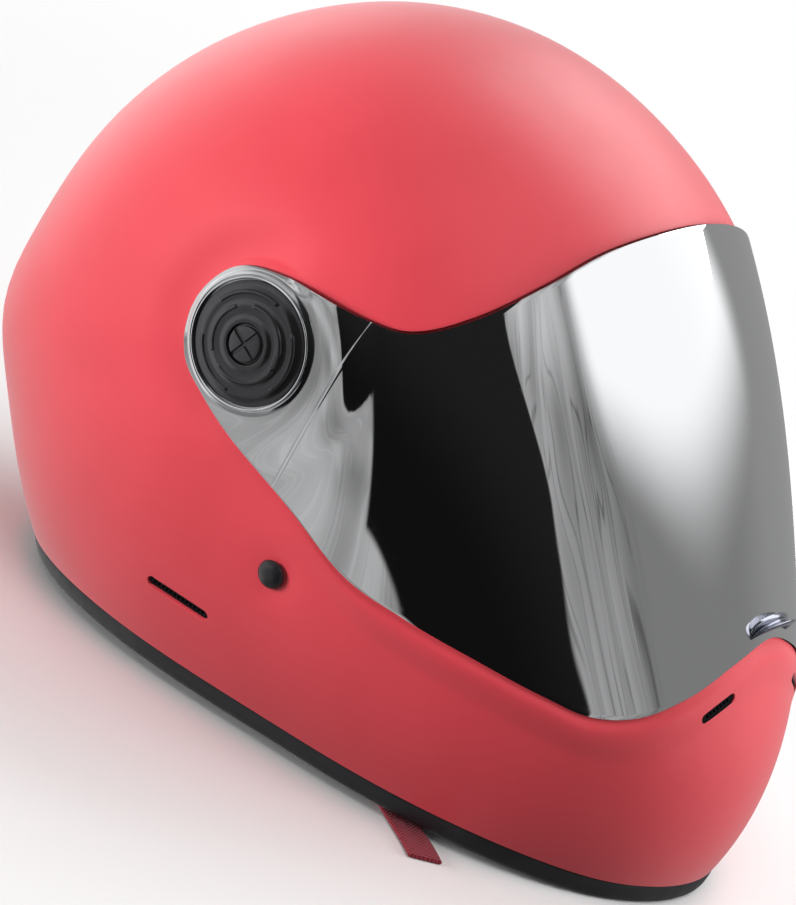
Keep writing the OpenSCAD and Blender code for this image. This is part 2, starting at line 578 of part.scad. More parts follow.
anchor_l = 24;
anchor_w = 20;
anchor_t = 1.6;
anchor_gap = 0.8;
module strap_rivet(sign) {
    dome = 3;
    big = (rivet_r * rivet_r + dome * dome) / (2 * dome);
    tail = shell_wall + anchor_gap + anchor_t;
    color([0.07, 0.07, 0.08]) on_skin(rivet_at, sign) {
        translate([0, 0, 0.25]) rotate_extrude() intersection() {
            translate([0, dome - big]) circle(big);
            square([rivet_r, dome]);
        }
        translate([0, 0, -tail - 1]) cylinder(r = shank_r, h = tail + 1.3);
        translate([0, 0, -tail - 1.2]) cylinder(r = shank_r + 1.2, h = 1);
    }
}
module strap_anchor(sign) {
    color([0.62, 0.62, 0.64]) on_skin(rivet_at, sign)
        translate([0, -3, -shell_wall - anchor_gap - anchor_t / 2]) difference() {
            cube([anchor_w, anchor_l, anchor_t], center = true);
            translate([0, 3, 0]) cylinder(r = shank_r + 0.1, h = 4 * anchor_t, center = true);
        }
}

// The straps run down from their anchors inside the channels; the right one loops round the
// straight bars of the D-rings, the left one lies loose across the opening. Their ways are set
// from the rim's point between the liners: a distance inward from it, one back, and a height
strap_gate = rim_point(12.25);
function by_gate(inward, back, z, sign) =
    [sign * (strap_gate[0] - inward), hinge_y - strap_gate[1] + back, z];
ring_at = by_gate(28.6, -23.1, 0, -1);
ring_turn = -18;
ring_low = 6.2;
ring_tilt = 13;
ring_arm = 5.5;
ring_high = ring_low + (2 * wire_r + 0.3) / cos(ring_tilt);
loop_r = wire_r + strap_t / 2 + 0.6;
// A point by the rings: the distance along their own X axis and the height
function by_ring(d, z) = [ring_at[0] + d * cos(ring_turn), ring_at[1] + d * sin(ring_turn), z];
ring_side = [-sin(ring_turn), cos(ring_turn), 0];
run_right = [by_gate(7.1, -5.1, 22.5, -1), by_gate(13.6, -15.1, 16.5, -1),
    by_ring(-5, ring_high + loop_r + 0.6), by_ring(0, ring_high + loop_r),
    by_ring(loop_r, ring_high), by_ring(loop_r, ring_low), by_ring(0, ring_low - loop_r),
    by_ring(-4, ring_low - loop_r + 0.8), by_ring(-7.5, ring_low - 0.4)];
lie_z = strap_t / 2 + 0.4;
run_left = [by_gate(9.5, -2.1, 21, 1), by_gate(19.5, -9.1, 9.2, 1), by_gate(36, -14.1, 2.7, 1),
    by_gate(56, -18.1, lie_z, 1), [12, ring_at[1] + 3, lie_z],
    ring_at + [53.5, 2, lie_z], ring_at + [35.5, -1, lie_z]];
side_right = [[0, 1, 0], [0.05, 1, 0], [0.1, 1, 0], [0.2, 1, 0], for (k = [0:7]) ring_side];
side_left = [[0, 1, 0], [-0.05, 1, 0], [-0.1, 1, 0], [-0.2, 1, 0], [-0.1, 1, 0], [0, 1, 0],
    [0.1, 1, 0], [0.1, 1, 0], [0.1, 1, 0], [0.1, 1, 0]];
function strap_start(sign) = [for (q = [[0, 0], [8, 15], [16, 30]])
    world(skin(spot([rivet_at[0], rivet_at[1] + q[0] + 2, rivet_at[2] - q[1]]),
        -shell_wall - anchor_gap - anchor_t - 1.9 - strap_t / 2), sign)];
function smooth_run(pts, n) = let (m = len(pts) - 1) [for (k = [0:n]) let (s = k * m / n,
    i = min(m - 1, floor(s)))
    curve(pts[max(0, i - 1)], pts[i], pts[i + 1], pts[min(m, i + 2)], s - i)];
module ribbon(pts, sides, w, t, n) {
    p = smooth_run(pts, n);
    s = smooth_run(sides, n);
    function along(k) = p[min(n, k + 1)] - p[max(0, k - 1)];
    function across(k) = let (g = along(k) / norm(along(k)), v = s[k] - (s[k] * g) * g) v / norm(v);
    function up(k) = let (v = cross(along(k), across(k))) v / norm(v);
    function row(e, h) = [for (k = [0:n]) p[k] + e * across(k) * w / 2 + h * up(k) * t / 2];
    sheet([row(-1, 1), row(1, 1)], [row(-1, -1), row(1, -1)]);
}
module chin_strap_right() {
    color([0.1, 0.1, 0.11]) ribbon(concat(strap_start(-1), run_right), side_right, strap_w, strap_t, 44);
}
module chin_strap_left() {
    color([0.1, 0.1, 0.11]) ribbon(concat(strap_start(1), run_left), side_left, strap_w, strap_t, 36);
}
module d_ring(z) {
    r = strap_w / 2 + wire_r + 1.3;
    color([0.75, 0.75, 0.77]) translate([ring_at[0], ring_at[1], z]) rotate([0, ring_tilt, ring_turn]) {
        translate([ring_arm, 0, 0]) rotate(-90) rotate_extrude(angle = 180) translate([r, 0])
            circle(wire_r);
        rotate([90, 0, 0]) cylinder(r = wire_r, h = 2 * r, center = true);
        for (d = [-1, 1]) translate([0, d * r, 0]) {
            rotate([0, 90, 0]) cylinder(r = wire_r, h = ring_arm);
            sphere(wire_r);
        }
    }
}
module d_ring_lower() { d_ring(ring_low); }
module d_ring_upper() { d_ring(ring_high); }
module strap_snap() {
    color([0.7, 0.7, 0.72]) translate(ring_at + [49.5, 1.6, lie_z + strap_t / 2 + 0.1]) {
        cylinder(r = 5, h = 0.8);
        cylinder(r = 2.6, h = 2.2);
    }
}
pull_z = pull_t / 2 + 0.4;
pull_run = [for (q = [[-2, -4], [-11.5, -14.5], [-20.5, -25.5], [-27.5, -34], [-33.5, -40.5]])
    ring_at + [q[0], q[1], pull_z]];
module pull_tab() {
    color([0.5, 0.06, 0.1])
        ribbon(pull_run, [for (p = pull_run) [0.76, -0.65, 0]], pull_w, pull_t, 12);
}
module breath_guard() {
    depth = liner_depth + chin_wall + nape_gap;
    high = 14;
    low = 16;
    rows = 4;
    i0 = 20 * steps;
    function at(r, j, h) = world(skin(port_in(half_of(j), mix(-high, low, r / rows)), -depth - h),
        side_of(j));
    color([0.14, 0.14, 0.15]) sheet(
        [for (r = [0:rows]) [for (j = [i0:loop - i0]) at(r, j, 0)]],
        [for (r = [0:rows]) [for (j = [i0:loop - i0]) at(r, j, 1.6)]]);
}

outer_shell();
impact_liner();
chin_liner();
crown_pad();
brow_pad();
back_pad();
cheek_pad(-1);  // cheek_pad_right
cheek_pad(1);  // cheek_pad_left
neck_roll();
port_seal();
rim_trim();
chin_vent_mesh(-1);  // chin_vent_mesh_right
chin_vent_mesh(1);  // chin_vent_mesh_left
side_vent_mesh(-1);  // side_vent_mesh_right
side_vent_mesh(1);  // side_vent_mesh_left
pivot_base(-1);  // pivot_base_right
pivot_base(1);  // pivot_base_left
base_screws(-1);  // base_screws_right
base_screws(1);  // base_screws_left
detent_spring(-1);  // detent_spring_right
detent_spring(1);  // detent_spring_left
visor();
lift_tab();
pivot_ring(-1);  // pivot_ring_right
pivot_ring(1);  // pivot_ring_left
pivot_cover(-1);  // pivot_cover_right
pivot_cover(1);  // pivot_cover_left
pivot_lock(-1);  // pivot_lock_right
pivot_lock(1);  // pivot_lock_left
strap_rivet(-1);  // strap_rivet_right
strap_rivet(1);  // strap_rivet_left
strap_anchor(-1);  // strap_anchor_right
strap_anchor(1);  // strap_anchor_left
chin_strap_right();
chin_strap_left();
d_ring_upper();
d_ring_lower();
strap_snap();
pull_tab();
breath_guard();
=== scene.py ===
"""Looks of a full face helmet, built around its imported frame.

The helmet stands on its rim: X runs across the head, it faces -Y and Z is up. Lengths in the
form classes are in millimetres, as in the part's source, and meshes are made in metres.
"""

import logging
import math
from dataclasses import dataclass, field
from enum import Enum
from typing import Any, Callable, Iterable, Optional, Sequence

import bmesh
import bpy
import numpy as np
from mathutils import Matrix, Vector
from mathutils.kdtree import KDTree

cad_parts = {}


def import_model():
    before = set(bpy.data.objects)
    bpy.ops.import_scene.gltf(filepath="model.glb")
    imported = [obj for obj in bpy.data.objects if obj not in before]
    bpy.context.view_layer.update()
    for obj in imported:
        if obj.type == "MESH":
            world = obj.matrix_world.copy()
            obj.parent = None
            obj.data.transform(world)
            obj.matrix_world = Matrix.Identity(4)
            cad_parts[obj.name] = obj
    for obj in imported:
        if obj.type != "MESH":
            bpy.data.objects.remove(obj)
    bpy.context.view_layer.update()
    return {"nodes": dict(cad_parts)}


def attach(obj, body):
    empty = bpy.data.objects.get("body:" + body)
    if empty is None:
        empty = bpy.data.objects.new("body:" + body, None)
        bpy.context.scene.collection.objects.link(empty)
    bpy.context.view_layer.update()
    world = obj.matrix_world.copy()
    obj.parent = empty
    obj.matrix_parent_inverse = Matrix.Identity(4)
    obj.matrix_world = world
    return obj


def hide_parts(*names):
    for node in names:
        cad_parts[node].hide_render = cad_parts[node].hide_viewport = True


LOG = logging.getLogger("helmet")
MM = 0.001
SAME_PLACE = 2e-6  # points of a piece that are nearer than this, in metres, become one
CLOTH_FRAMES = 20
Colour = tuple[float, float, float]


class Side(Enum):
    """The wearer's sides: the value is the sign of X."""

    RIGHT = -1
    LEFT = 1

    @property
    def word(self) -> str:
        """The side's name as it ends a node's name."""
        return self.name.lower()


# ---------------------------------------------------------------- shader graphs


def _operator(operation: str, swapped: bool = False) -> Callable[["Sock", Any], "Sock"]:
    """A method that adds one Math node; swapped puts the other value first."""

    def act(self: "Sock", other: Any) -> "Sock":
        """Adds the node."""
        first, second = (other, self) if swapped else (self, other)
        return self.graph.node("ShaderNodeMath", {"operation": operation}, {0: first, 1: second})

    return act


class Sock:
    """A shader socket whose arithmetic adds Math nodes."""

    __add__, __radd__ = _operator("ADD"), _operator("ADD", True)
    __sub__, __rsub__ = _operator("SUBTRACT"), _operator("SUBTRACT", True)
    __mul__, __rmul__ = _operator("MULTIPLY"), _operator("MULTIPLY", True)
    __truediv__ = _operator("DIVIDE")

    def __init__(self, graph: "Graph", socket: bpy.types.NodeSocket) -> None:
        """Wraps a socket of a graph."""
        self.graph = graph
        self.socket = socket

    def apply(self, operation: str, other: Any = None) -> "Sock":
        """Any other Math operation, such as SINE or MAXIMUM."""
        values = {0: self} if other is None else {0: self, 1: other}
        return self.graph.node("ShaderNodeMath", {"operation": operation}, values)

    def step(self, low: float, high: float) -> "Sock":
        """Smooth step from 0 at low to 1 at high, or falling if high is the smaller."""
        return self.graph.node(
            "ShaderNodeMapRange",
            {"interpolation_type": "SMOOTHSTEP"},
            {0: self, 1: low, 2: high, 3: 0.0, 4: 1.0},
        )


class Graph:
    """A material's node graph with a Principled shader."""

    def __init__(self, name: str) -> None:
        """Makes the material and its shader."""
        self.material = bpy.data.materials.new(name)
        self.material.use_nodes = True
        self.tree = self.material.node_tree
        self.shader = self.tree.nodes["Principled BSDF"]

    def node(
        self,
        kind: str,
        settings: Optional[dict[str, Any]] = None,
        values: Optional[dict[Any, Any]] = None,
        out: Any = 0,
    ) -> Sock:
        """Adds a node.

        Args:
            kind: the node's type name.
            settings: its properties, set first.
            values: values or sockets for its inputs, by index or name.
            out: the output to return, by index or name.

        Returns:
            The chosen output.
        """
        made = self.tree.nodes.new(kind)
        for key, value in (settings or {}).items():
            setattr(made, key, value)
        for key, value in (values or {}).items():
            self.feed(made.inputs[key], value)
        return Sock(self, made.outputs[out])

    def feed(self, target: bpy.types.NodeSocket, value: Any) -> None:
        """Links or sets one input."""
        if isinstance(value, Sock):
            self.tree.links.new(value.socket, target)
        elif isinstance(value, tuple) and target.type == "RGBA":
            target.default_value = (*value, 1.0)[:4]
        else:
            target.default_value = value

    def set(self, **values: Any) -> None:
        """Sets or links the shader's sockets; an underscore in a name stands for a space."""
        for key, value in values.items():
            self.feed(self.shader.inputs[key.replace("_", " ")], value)

    def place(self) -> Sock:
        """The point in the frame's metres."""
        return self.node("ShaderNodeTexCoord", out="Object")

    def split(self, vector: Sock) -> tuple[Sock, Sock, Sock]:
        """The three parts of a vector."""
        parts = self.node("ShaderNodeSeparateXYZ", None, {0: vector}).socket.node
        return tuple(Sock(self, parts.outputs[k]) for k in range(3))

    def noise(self, scale: float, detail: float = 2.0, vector: Optional[Sock] = None) -> Sock:
        """Noise over the frame's metres, about 0.5."""
        where = vector or self.place()
        values = {"Vector": where, "Scale": scale, "Detail": detail}
        return self.node("ShaderNodeTexNoise", None, values)

    def mix(self, share: Any, first: Any, second: Any) -> Sock:
        """Mixes two colours."""
        return self.node(
            "ShaderNodeMix", {"data_type": "RGBA"}, {0: share, 6: first, 7: second}, out=2
        )

    def bump(self, height: Sock, distance: float, strength: float = 1.0) -> Sock:
        """A bump of a height given as a share of a distance in metres."""
        values = {"Strength": strength, "Distance": distance, "Height": height}
        return self.node("ShaderNodeBump", None, values)


# ---------------------------------------------------------------- finishes


class Finish:
    """A procedural finish, which sets up the shader of a new material."""

    def paint(self, g: Graph) -> None:
        """Sets the shader's sockets."""
        raise NotImplementedError

    def material(self, name: str) -> bpy.types.Material:
        """Builds the finish's material."""
        g = Graph(name)
        self.paint(g)
        return g.material

    def tinted(self, share: float, more: float = 0.0) -> Colour:
        """The finish's colour times a share, with a little more of each part."""
        return tuple(part * share + more for part in self.colour)


@dataclass(frozen=True)
class SatinLacquer(Finish):
    """Satin colour coat with a faint orange peel."""

    colour: Colour = (0.74, 0.056, 0.078)
    deep: Colour = (0.66, 0.046, 0.064)
    roughness: float = 0.42

    def paint(self, g: Graph) -> None:
        """Sets up the coat."""
        cloud = g.noise(14.0, 3.0)
        peel = g.noise(520.0, 2.0)
        g.set(
            Base_Color=g.mix(cloud.step(0.3, 0.7), self.deep, self.colour),
            Roughness=self.roughness + (g.noise(60.0, 4.0) - 0.5) * 0.10,
            Normal=g.bump(peel, 0.00005, 0.35),
            Coat_Weight=0.22,
            Coat_Roughness=0.4,
            Sheen_Weight=0.24,
            Sheen_Roughness=0.5,
        )
        g.set(**{"Specular IOR Level": 0.45, "Sheen Tint": (1.0, 0.93, 0.92, 1.0)})


@dataclass(frozen=True)
class MirrorCoat(Finish):
    """Silver mirror coat on a clear visor, with faint waves and a painted highlight along the
    crease by the ear.
    """

    colour: Colour = (0.72, 0.725, 0.735)
    # Brighter silver for the painted highlight along the crease
    edge: Colour = (0.86, 0.87, 0.89)
    crease: tuple[Vector, Vector] = (Vector((0, -0.0162, 0.160)), Vector((0, -0.0075, 0.095)))

    def paint(self, g: Graph) -> None:
        """Sets up the mirror."""
        _, y, z = g.split(g.place())
        first, second = self.crease
        along = (second - first).normalized()
        normal = Vector((0, along.z, -along.y))
        far = (y - first.y) * normal.y + (z - first.z) * normal.z
        # Painted highlight: the mirror's colour is mixed towards the brighter silver within about a
        # millimetre of the crease line
        line = far.apply("ABSOLUTE").step(0.0009, 0.0002)
        wave = g.noise(9.0, 1.0)
        haze = g.noise(240.0, 4.0)
        g.set(
            Base_Color=g.mix(line * 0.7, self.colour, self.edge),
            Metallic=1.0,
            Roughness=0.025 + haze.step(0.55, 0.8) * 0.03,
            Normal=g.bump(wave + line * 0.1, 0.0012, 0.5),
        )


@dataclass(frozen=True)
class Chrome(Finish):
    """Polished plating with hairline scratches."""

    colour: Colour = (0.78, 0.79, 0.81)
    roughness: float = 0.08

    def paint(self, g: Graph) -> None:
        """Sets up the plating."""
        smear = g.noise(90.0, 4.0)
        g.set(
            Base_Color=g.mix(smear.step(0.4, 0.75), self.colour, self.tinted(0.86)),
            Metallic=1.0,
            Roughness=self.roughness + smear * 0.08,
            Normal=g.bump(g.noise(1400.0, 2.0), 0.00002, 0.3),
        )


@dataclass(frozen=True)
class BlackPlate(Finish):
    """Black-plated moulding: a dark mirror under a fine grain."""

    colour: Colour = (0.085, 0.085, 0.09)
    roughness: float = 0.2
    grain: float = 1400.0
    depth: float = 0.00003

    def paint(self, g: Graph) -> None:
        """Sets up the plating."""
        grain = g.noise(self.grain, 3.0)
        dust = g.noise(60.0, 5.0).step(0.5, 0.8)
        g.set(
            Base_Color=g.mix(dust * 0.4, self.colour, self.tinted(1.4)),
            Metallic=0.9,
            Roughness=self.roughness + (grain - 0.5) * 0.12,
            Normal=g.bump(grain, self.depth, 0.6),
        )


@dataclass(frozen=True)
class MouldedBlack(Finish):
    """Satin moulded plastic with a fine spark texture."""

    colour: Colour = (0.022, 0.023, 0.027)
    roughness: float = 0.38
    grain: float = 1500.0
    depth: float = 0.00003
    shine: float = 0.5

    def paint(self, g: Graph) -> None:
        """Sets up the plastic."""
        grain = g.noise(self.grain, 3.0)
        dust = g.noise(50.0, 5.0).step(0.5, 0.8)
        g.set(
            Base_Color=g.mix(dust * 0.5, self.colour, self.tinted(1.7, 0.004)),
            Roughness=self.roughness + (grain - 0.5) * 0.2,
            Normal=g.bump(grain, self.depth, 0.6),
        )
        g.set(**{"Specular IOR Level": self.shine})


@dataclass(frozen=True)
class Rubber(Finish):
    """Matte moulded rubber."""

    colour: Colour = (0.016, 0.016, 0.018)
    roughness: float = 0.55

    def paint(self, g: Graph) -> None:
        """Sets up the rubber."""
        bloom = g.noise(35.0, 5.0).step(0.45, 0.75)
        g.set(
            Base_Color=g.mix(bloom * 0.6, self.colour, (0.034, 0.034, 0.036)),
            Roughness=self.roughness + (g.noise(300.0, 3.0) - 0.5) * 0.2,
            Normal=g.bump(g.noise(1100.0, 3.0), 0.00004, 0.5),
        )


@dataclass(frozen=True)
class BeadFoam(Finish):
    """Moulded bead foam: cells pressed flat against each other."""

    colour: Colour = (0.020, 0.020, 0.022)
    bead: float = 330.0

    def paint(self, g: Graph) -> None:
        """Sets up the foam."""
        cells = {"feature": "DISTANCE_TO_EDGE"}
        gap = g.node("ShaderNodeTexVoronoi", cells, {"Vector": g.place(), "Scale": self.bead})
        body = gap.step(0.0, 0.12)
        g.set(
            Base_Color=g.mix(body, self.tinted(0.4), self.colour),
            Roughness=0.85 - body * 0.15,
            Normal=g.bump(body, 0.0003, 0.8),
        )


@dataclass(frozen=True)
class BrushedCloth(Finish):
    """Short brushed nap of a comfort lining."""

    colour: Colour = (0.020, 0.020, 0.022)
    light: Colour = (0.045, 0.045, 0.050)

    def paint(self, g: Graph) -> None:
        """Sets up the cloth."""
        tuft = g.noise(900.0, 4.0)
        tone = g.noise(24.0, 4.0)
        g.set(
            Base_Color=g.mix(tuft.step(0.35, 0.7) * 0.7 + tone * 0.2, self.colour, self.light),
            Roughness=0.92 - tuft * 0.1,
            Normal=g.bump(tuft + tone * 0.4, 0.0005, 0.7),
            Sheen_Weight=0.35,
            Sheen_Roughness=0.5,
        )


@dataclass(frozen=True)
class MeshKnit(Finish):
    """Open spacer knit with a grid of small eyelets, whose near-black colour is painted shade in
    the holes.
    """

    colour: Colour = (0.026, 0.026, 0.029)
    eyelet: float = 420.0

    def paint(self, g: Graph) -> None:
        """Sets up the knit."""
        cell = g.node("ShaderNodeTexVoronoi", None, {"Vector": g.place(), "Scale": self.eyelet})
        yarn = cell.step(0.18, 0.42)
        g.set(
            # Painted shade: the eyelets' holes are coloured near black
            Base_Color=g.mix(yarn, (0.004, 0.004, 0.005), self.colour),
            Roughness=0.9 - yarn * 0.12,
            Normal=g.bump(yarn, 0.0004, 0.9),
            Sheen_Weight=0.2,
            Sheen_Roughness=0.5,
        )


@dataclass(frozen=True)
class Webbing(Finish):
    """Woven webbing, with its weave in the ribbon's own millimetres."""

    colour: Colour = (0.022, 0.022, 0.024)
    light: Colour = (0.055, 0.055, 0.060)
    pitch: float = 1.3
    herringbone: bool = False

    def paint(self, g: Graph) -> None:
        """Sets up the weave."""
        u, v, _ = g.split(g.node("ShaderNodeUVMap", {"uv_map": "weave"}))
        turn = 2 * math.pi / self.pitch
        if self.herringbone:
            zigzag = (v / (2.5 * self.pitch)).apply("PINGPONG", 1.0) * 2.5 * self.pitch
            wave = ((u + zigzag) * turn).apply("SINE")
        else:
            wave = (u * turn).apply("SINE") * (v * turn).apply("SINE")
        thread = wave * 0.5 + 0.5
        fibre = g.noise(2600.0, 2.0)
        g.set(
            Base_Color=g.mix(thread * 0.7 + fibre * 0.3, self.colour, self.light),
            Roughness=0.8 - thread * 0.15,
            Normal=g.bump(thread + fibre * 0.3, 0.0004, 0.8),
            Sheen_Weight=0.15,
        )


@dataclass(frozen=True)
class Steel(Finish):
    """Bright drawn steel."""

    colour: Colour = (0.62, 0.62, 0.64)

    def paint(self, g: Graph) -> None:
        """Sets up the steel."""
        wear = g.noise(400.0, 5.0)
        g.set(
            Base_Color=g.mix(wear, self.colour, self.tinted(0.7)),
            Metallic=1.0,
            Roughness=0.22 + wear * 0.18,
            Normal=g.bump(wear, 0.00003, 0.5),
        )


# ---------------------------------------------------------------- meshes


def smooth(low: float, high: float, x: Any) -> Any:
    """Smooth step from 0 at low to 1 at high."""
    u = np.clip((np.asarray(x, float) - low) / (high - low), 0, 1)
    return u * u * (3 - 2 * u)


def blend(a: Any, b: Any, share: Any) -> Any:
    """Linear mix of a and b."""
    return a + (b - a) * share


def curve(a: Any, b: Any, c: Any, d: Any, f: Any) -> Any:
    """Catmull-Rom curve from b to c between the neighbours a and d."""
    square, cube = a - 2.5 * b + 2 * c - d / 2, 1.5 * (b - c) + (d - a) / 2
    return b + f * ((c - a) / 2 + f * (square + f * cube))


def unit(way: np.ndarray) -> np.ndarray:
    """Directions on the last axis, each of length 1."""
    return way / np.linalg.norm(way, axis=-1, keepdims=True)


def cell(x: Any, last: int) -> tuple[np.ndarray, np.ndarray]:
    """The cell that each number lies in, up to the last one, and its share of the way through."""
    low = np.minimum(np.floor(x).astype(int), last)
    return low, x - low


def around(count: int) -> np.ndarray:
    """So many angles round a full turn, in radians."""
    return np.linspace(0, 2 * math.pi, count, endpoint=False)


def off_hinge(p: np.ndarray) -> np.ndarray:
    """Distances of points [side, forward, up] from the hinge's line."""
    return np.hypot(p[..., 1], p[..., 2])


def grid_faces(rows: int, cols: int, closed: bool, flip: bool = False) -> np.ndarray:
    """Quads of a grid of points.

    Args:
        rows: rows of points.
        cols: columns of points.
        closed: whether the last column joins the first.
        flip: whether the quads turn the other way.

    Returns:
        An array of four indices a quad.
    """
    r, c = np.meshgrid(np.arange(rows - 1), np.arange(cols if closed else cols - 1), indexing="ij")
    r, c = r.ravel(), c.ravel()
    d = (c + 1) % cols
    quads = np.stack([r * cols + c, r * cols + d, (r + 1) * cols + d, (r + 1) * cols + c], 1)
    return quads[:, ::-1] if flip else quads


def link(name: str, data: bpy.types.ID) -> bpy.types.Object:
    """Puts a mesh, lamp or camera into the scene as an object."""
    made = bpy.data.objects.new(name, data)
    bpy.context.scene.collection.objects.link(made)
    return made


def make_piece(
    name: str,
    points: np.ndarray,
    faces: Iterable[Sequence[int]],
    crisp: Optional[float] = None,
    weave: Optional[np.ndarray] = None,
) -> bpy.types.Object:
    """Makes a smooth mesh object in the scene.

    Args:
        name: the piece's name.
        points: its points, in metres.
        faces: its faces as point indices.
        crisp: the angle in degrees from which edges are sharp, if any are.
        weave: coordinates of its points in a woven band, in millimetres, if it is one.

    Returns:
        The new object.
    """
    mesh = bpy.data.meshes.new(name)
    mesh.from_pydata([tuple(p) for p in points], [], [tuple(int(i) for i in f) for f in faces])
    if weave is None:
        mesh.validate()
    else:
        index = np.empty(len(mesh.loops), int)
        mesh.loops.foreach_get("vertex_index", index)
        mesh.uv_layers.new(name="weave").data.foreach_set("uv", weave[index].ravel())
    bm = bmesh.new()
    bm.from_mesh(mesh)
    if weave is None:
        bmesh.ops.remove_doubles(bm, verts=bm.verts, dist=SAME_PLACE)
    bmesh.ops.recalc_face_normals(bm, faces=bm.faces)
    bm.to_mesh(mesh)
    bm.free()
    for polygon in mesh.polygons:
        polygon.use_smooth = True
    made = link(name, mesh)
    if crisp is not None:
        sharpen(made, crisp)
    return made


def sharpen(piece: bpy.types.Object, angle: float) -> None:
    """Makes the piece's edges sharp from an angle in degrees."""
    piece.data.set_sharp_from_angle(angle=math.radians(angle))


def slab(outer: np.ndarray, inner: np.ndarray, closed: bool) -> tuple[np.ndarray, np.ndarray]:
    """Closed solid between two grids of points, given as arrays of rows, columns and axes.

    Args:
        outer: the outer grid.
        inner: the inner grid, of the same shape.
        closed: whether the columns run round a loop.

    Returns:
        The points and the quads.
    """
    rows, cols, _ = outer.shape
    n = rows * cols
    points = np.concatenate([outer.reshape(-1, 3), inner.reshape(-1, 3)])
    faces = [grid_faces(rows, cols, closed), grid_faces(rows, cols, closed, True) + n]
    c = np.arange(cols if closed else cols - 1)
    d = (c + 1) % cols
    last = (rows - 1) * cols
    faces.append(np.stack([d, c, c + n, d + n], 1))
    faces.append(np.stack([last + c, last + d, last + d + n, last + c + n], 1))
    if not closed:
        r = np.arange(rows - 1) * cols
        faces.append(np.stack([r, r + cols, r + cols + n, r + n], 1))
        e = r + cols - 1
        faces.append(np.stack([e + cols, e, e + n, e + cols + n], 1))
    return points, np.concatenate(faces)


def cut_corners(section: np.ndarray, passes: int) -> np.ndarray:
    """Rounds a closed section, or an array of them, by cutting its corners.

    Args:
        section: points on the last axis but one.
        passes: how many times the corners are cut.

    Returns:
        The rounded section, with twice the points for each pass.
    """
    for _ in range(passes):
        following = np.roll(section, -1, axis=-2)
        near, far = 0.8 * section + 0.2 * following, 0.2 * section + 0.8 * following
        section = np.stack([near, far], axis=-2).reshape(
            *section.shape[:-2], 2 * section.shape[-2], section.shape[-1]
        )
    return section


def tube_of(sections: np.ndarray, closed: bool) -> tuple[np.ndarray, np.ndarray]:
    """Surface through closed cross-sections, with capped ends if it isn't a loop.

    Args:
        sections: an array of places, section points and axes.
        closed: whether the last place joins the first.

    Returns:
        The points and the faces, quads with the caps split into quads and triangles.
    """
    places, m, _ = sections.shape
    quads = grid_faces(m + 1, places, closed)
    row, col = np.divmod(quads, places)
    faces = (col * m + row % m).tolist()
    if not closed:
        for first, turn in ((0, 1), ((places - 1) * m, -1)):
            for k in range(m // 2 - 1):
                cap = [k, k + 1, m - k - 2, m - k - 1]
                faces.append([first + i for i in cap[::turn]])
    return sections.reshape(-1, 3), faces


def add_modifier(piece: bpy.types.Object, kind: str, **settings: Any) -> None:
    """Adds a modifier with its settings."""
    made = piece.modifiers.new(kind.lower(), kind)
    for key, value in settings.items():
        setattr(made, key, value)


def soften(piece: bpy.types.Object, angle: float, width: float, segments: int) -> bpy.types.Object:
    """Rounds the piece's edges from an angle in degrees by a width in millimetres."""
    add_modifier(piece, "BEVEL", limit_method="ANGLE", angle_limit=math.radians(angle),
                 width=width * MM, segments=segments)
    return piece


def apply_modifiers(piece: bpy.types.Object) -> None:
    """Turns the piece's modifiers into its mesh."""
    graph = bpy.context.evaluated_depsgraph_get()
    mesh = bpy.data.meshes.new_from_object(piece.evaluated_get(graph))
    piece.modifiers.clear()
    piece.data = mesh


def dress(
    piece: bpy.types.Object,
    material: bpy.types.Material,
    body: str,
    nodes: Sequence[str] = (),
) -> bpy.types.Object:
    """Gives a piece its material and body, and hides the nodes that it stands for."""
    piece.data.materials.clear()
    piece.data.materials.append(material)
    if nodes:
        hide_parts(*nodes)
    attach(piece, body)
    LOG.info("%s rides on %s", piece.name, body)
    return piece


# ---------------------------------------------------------------- the helmet's skin


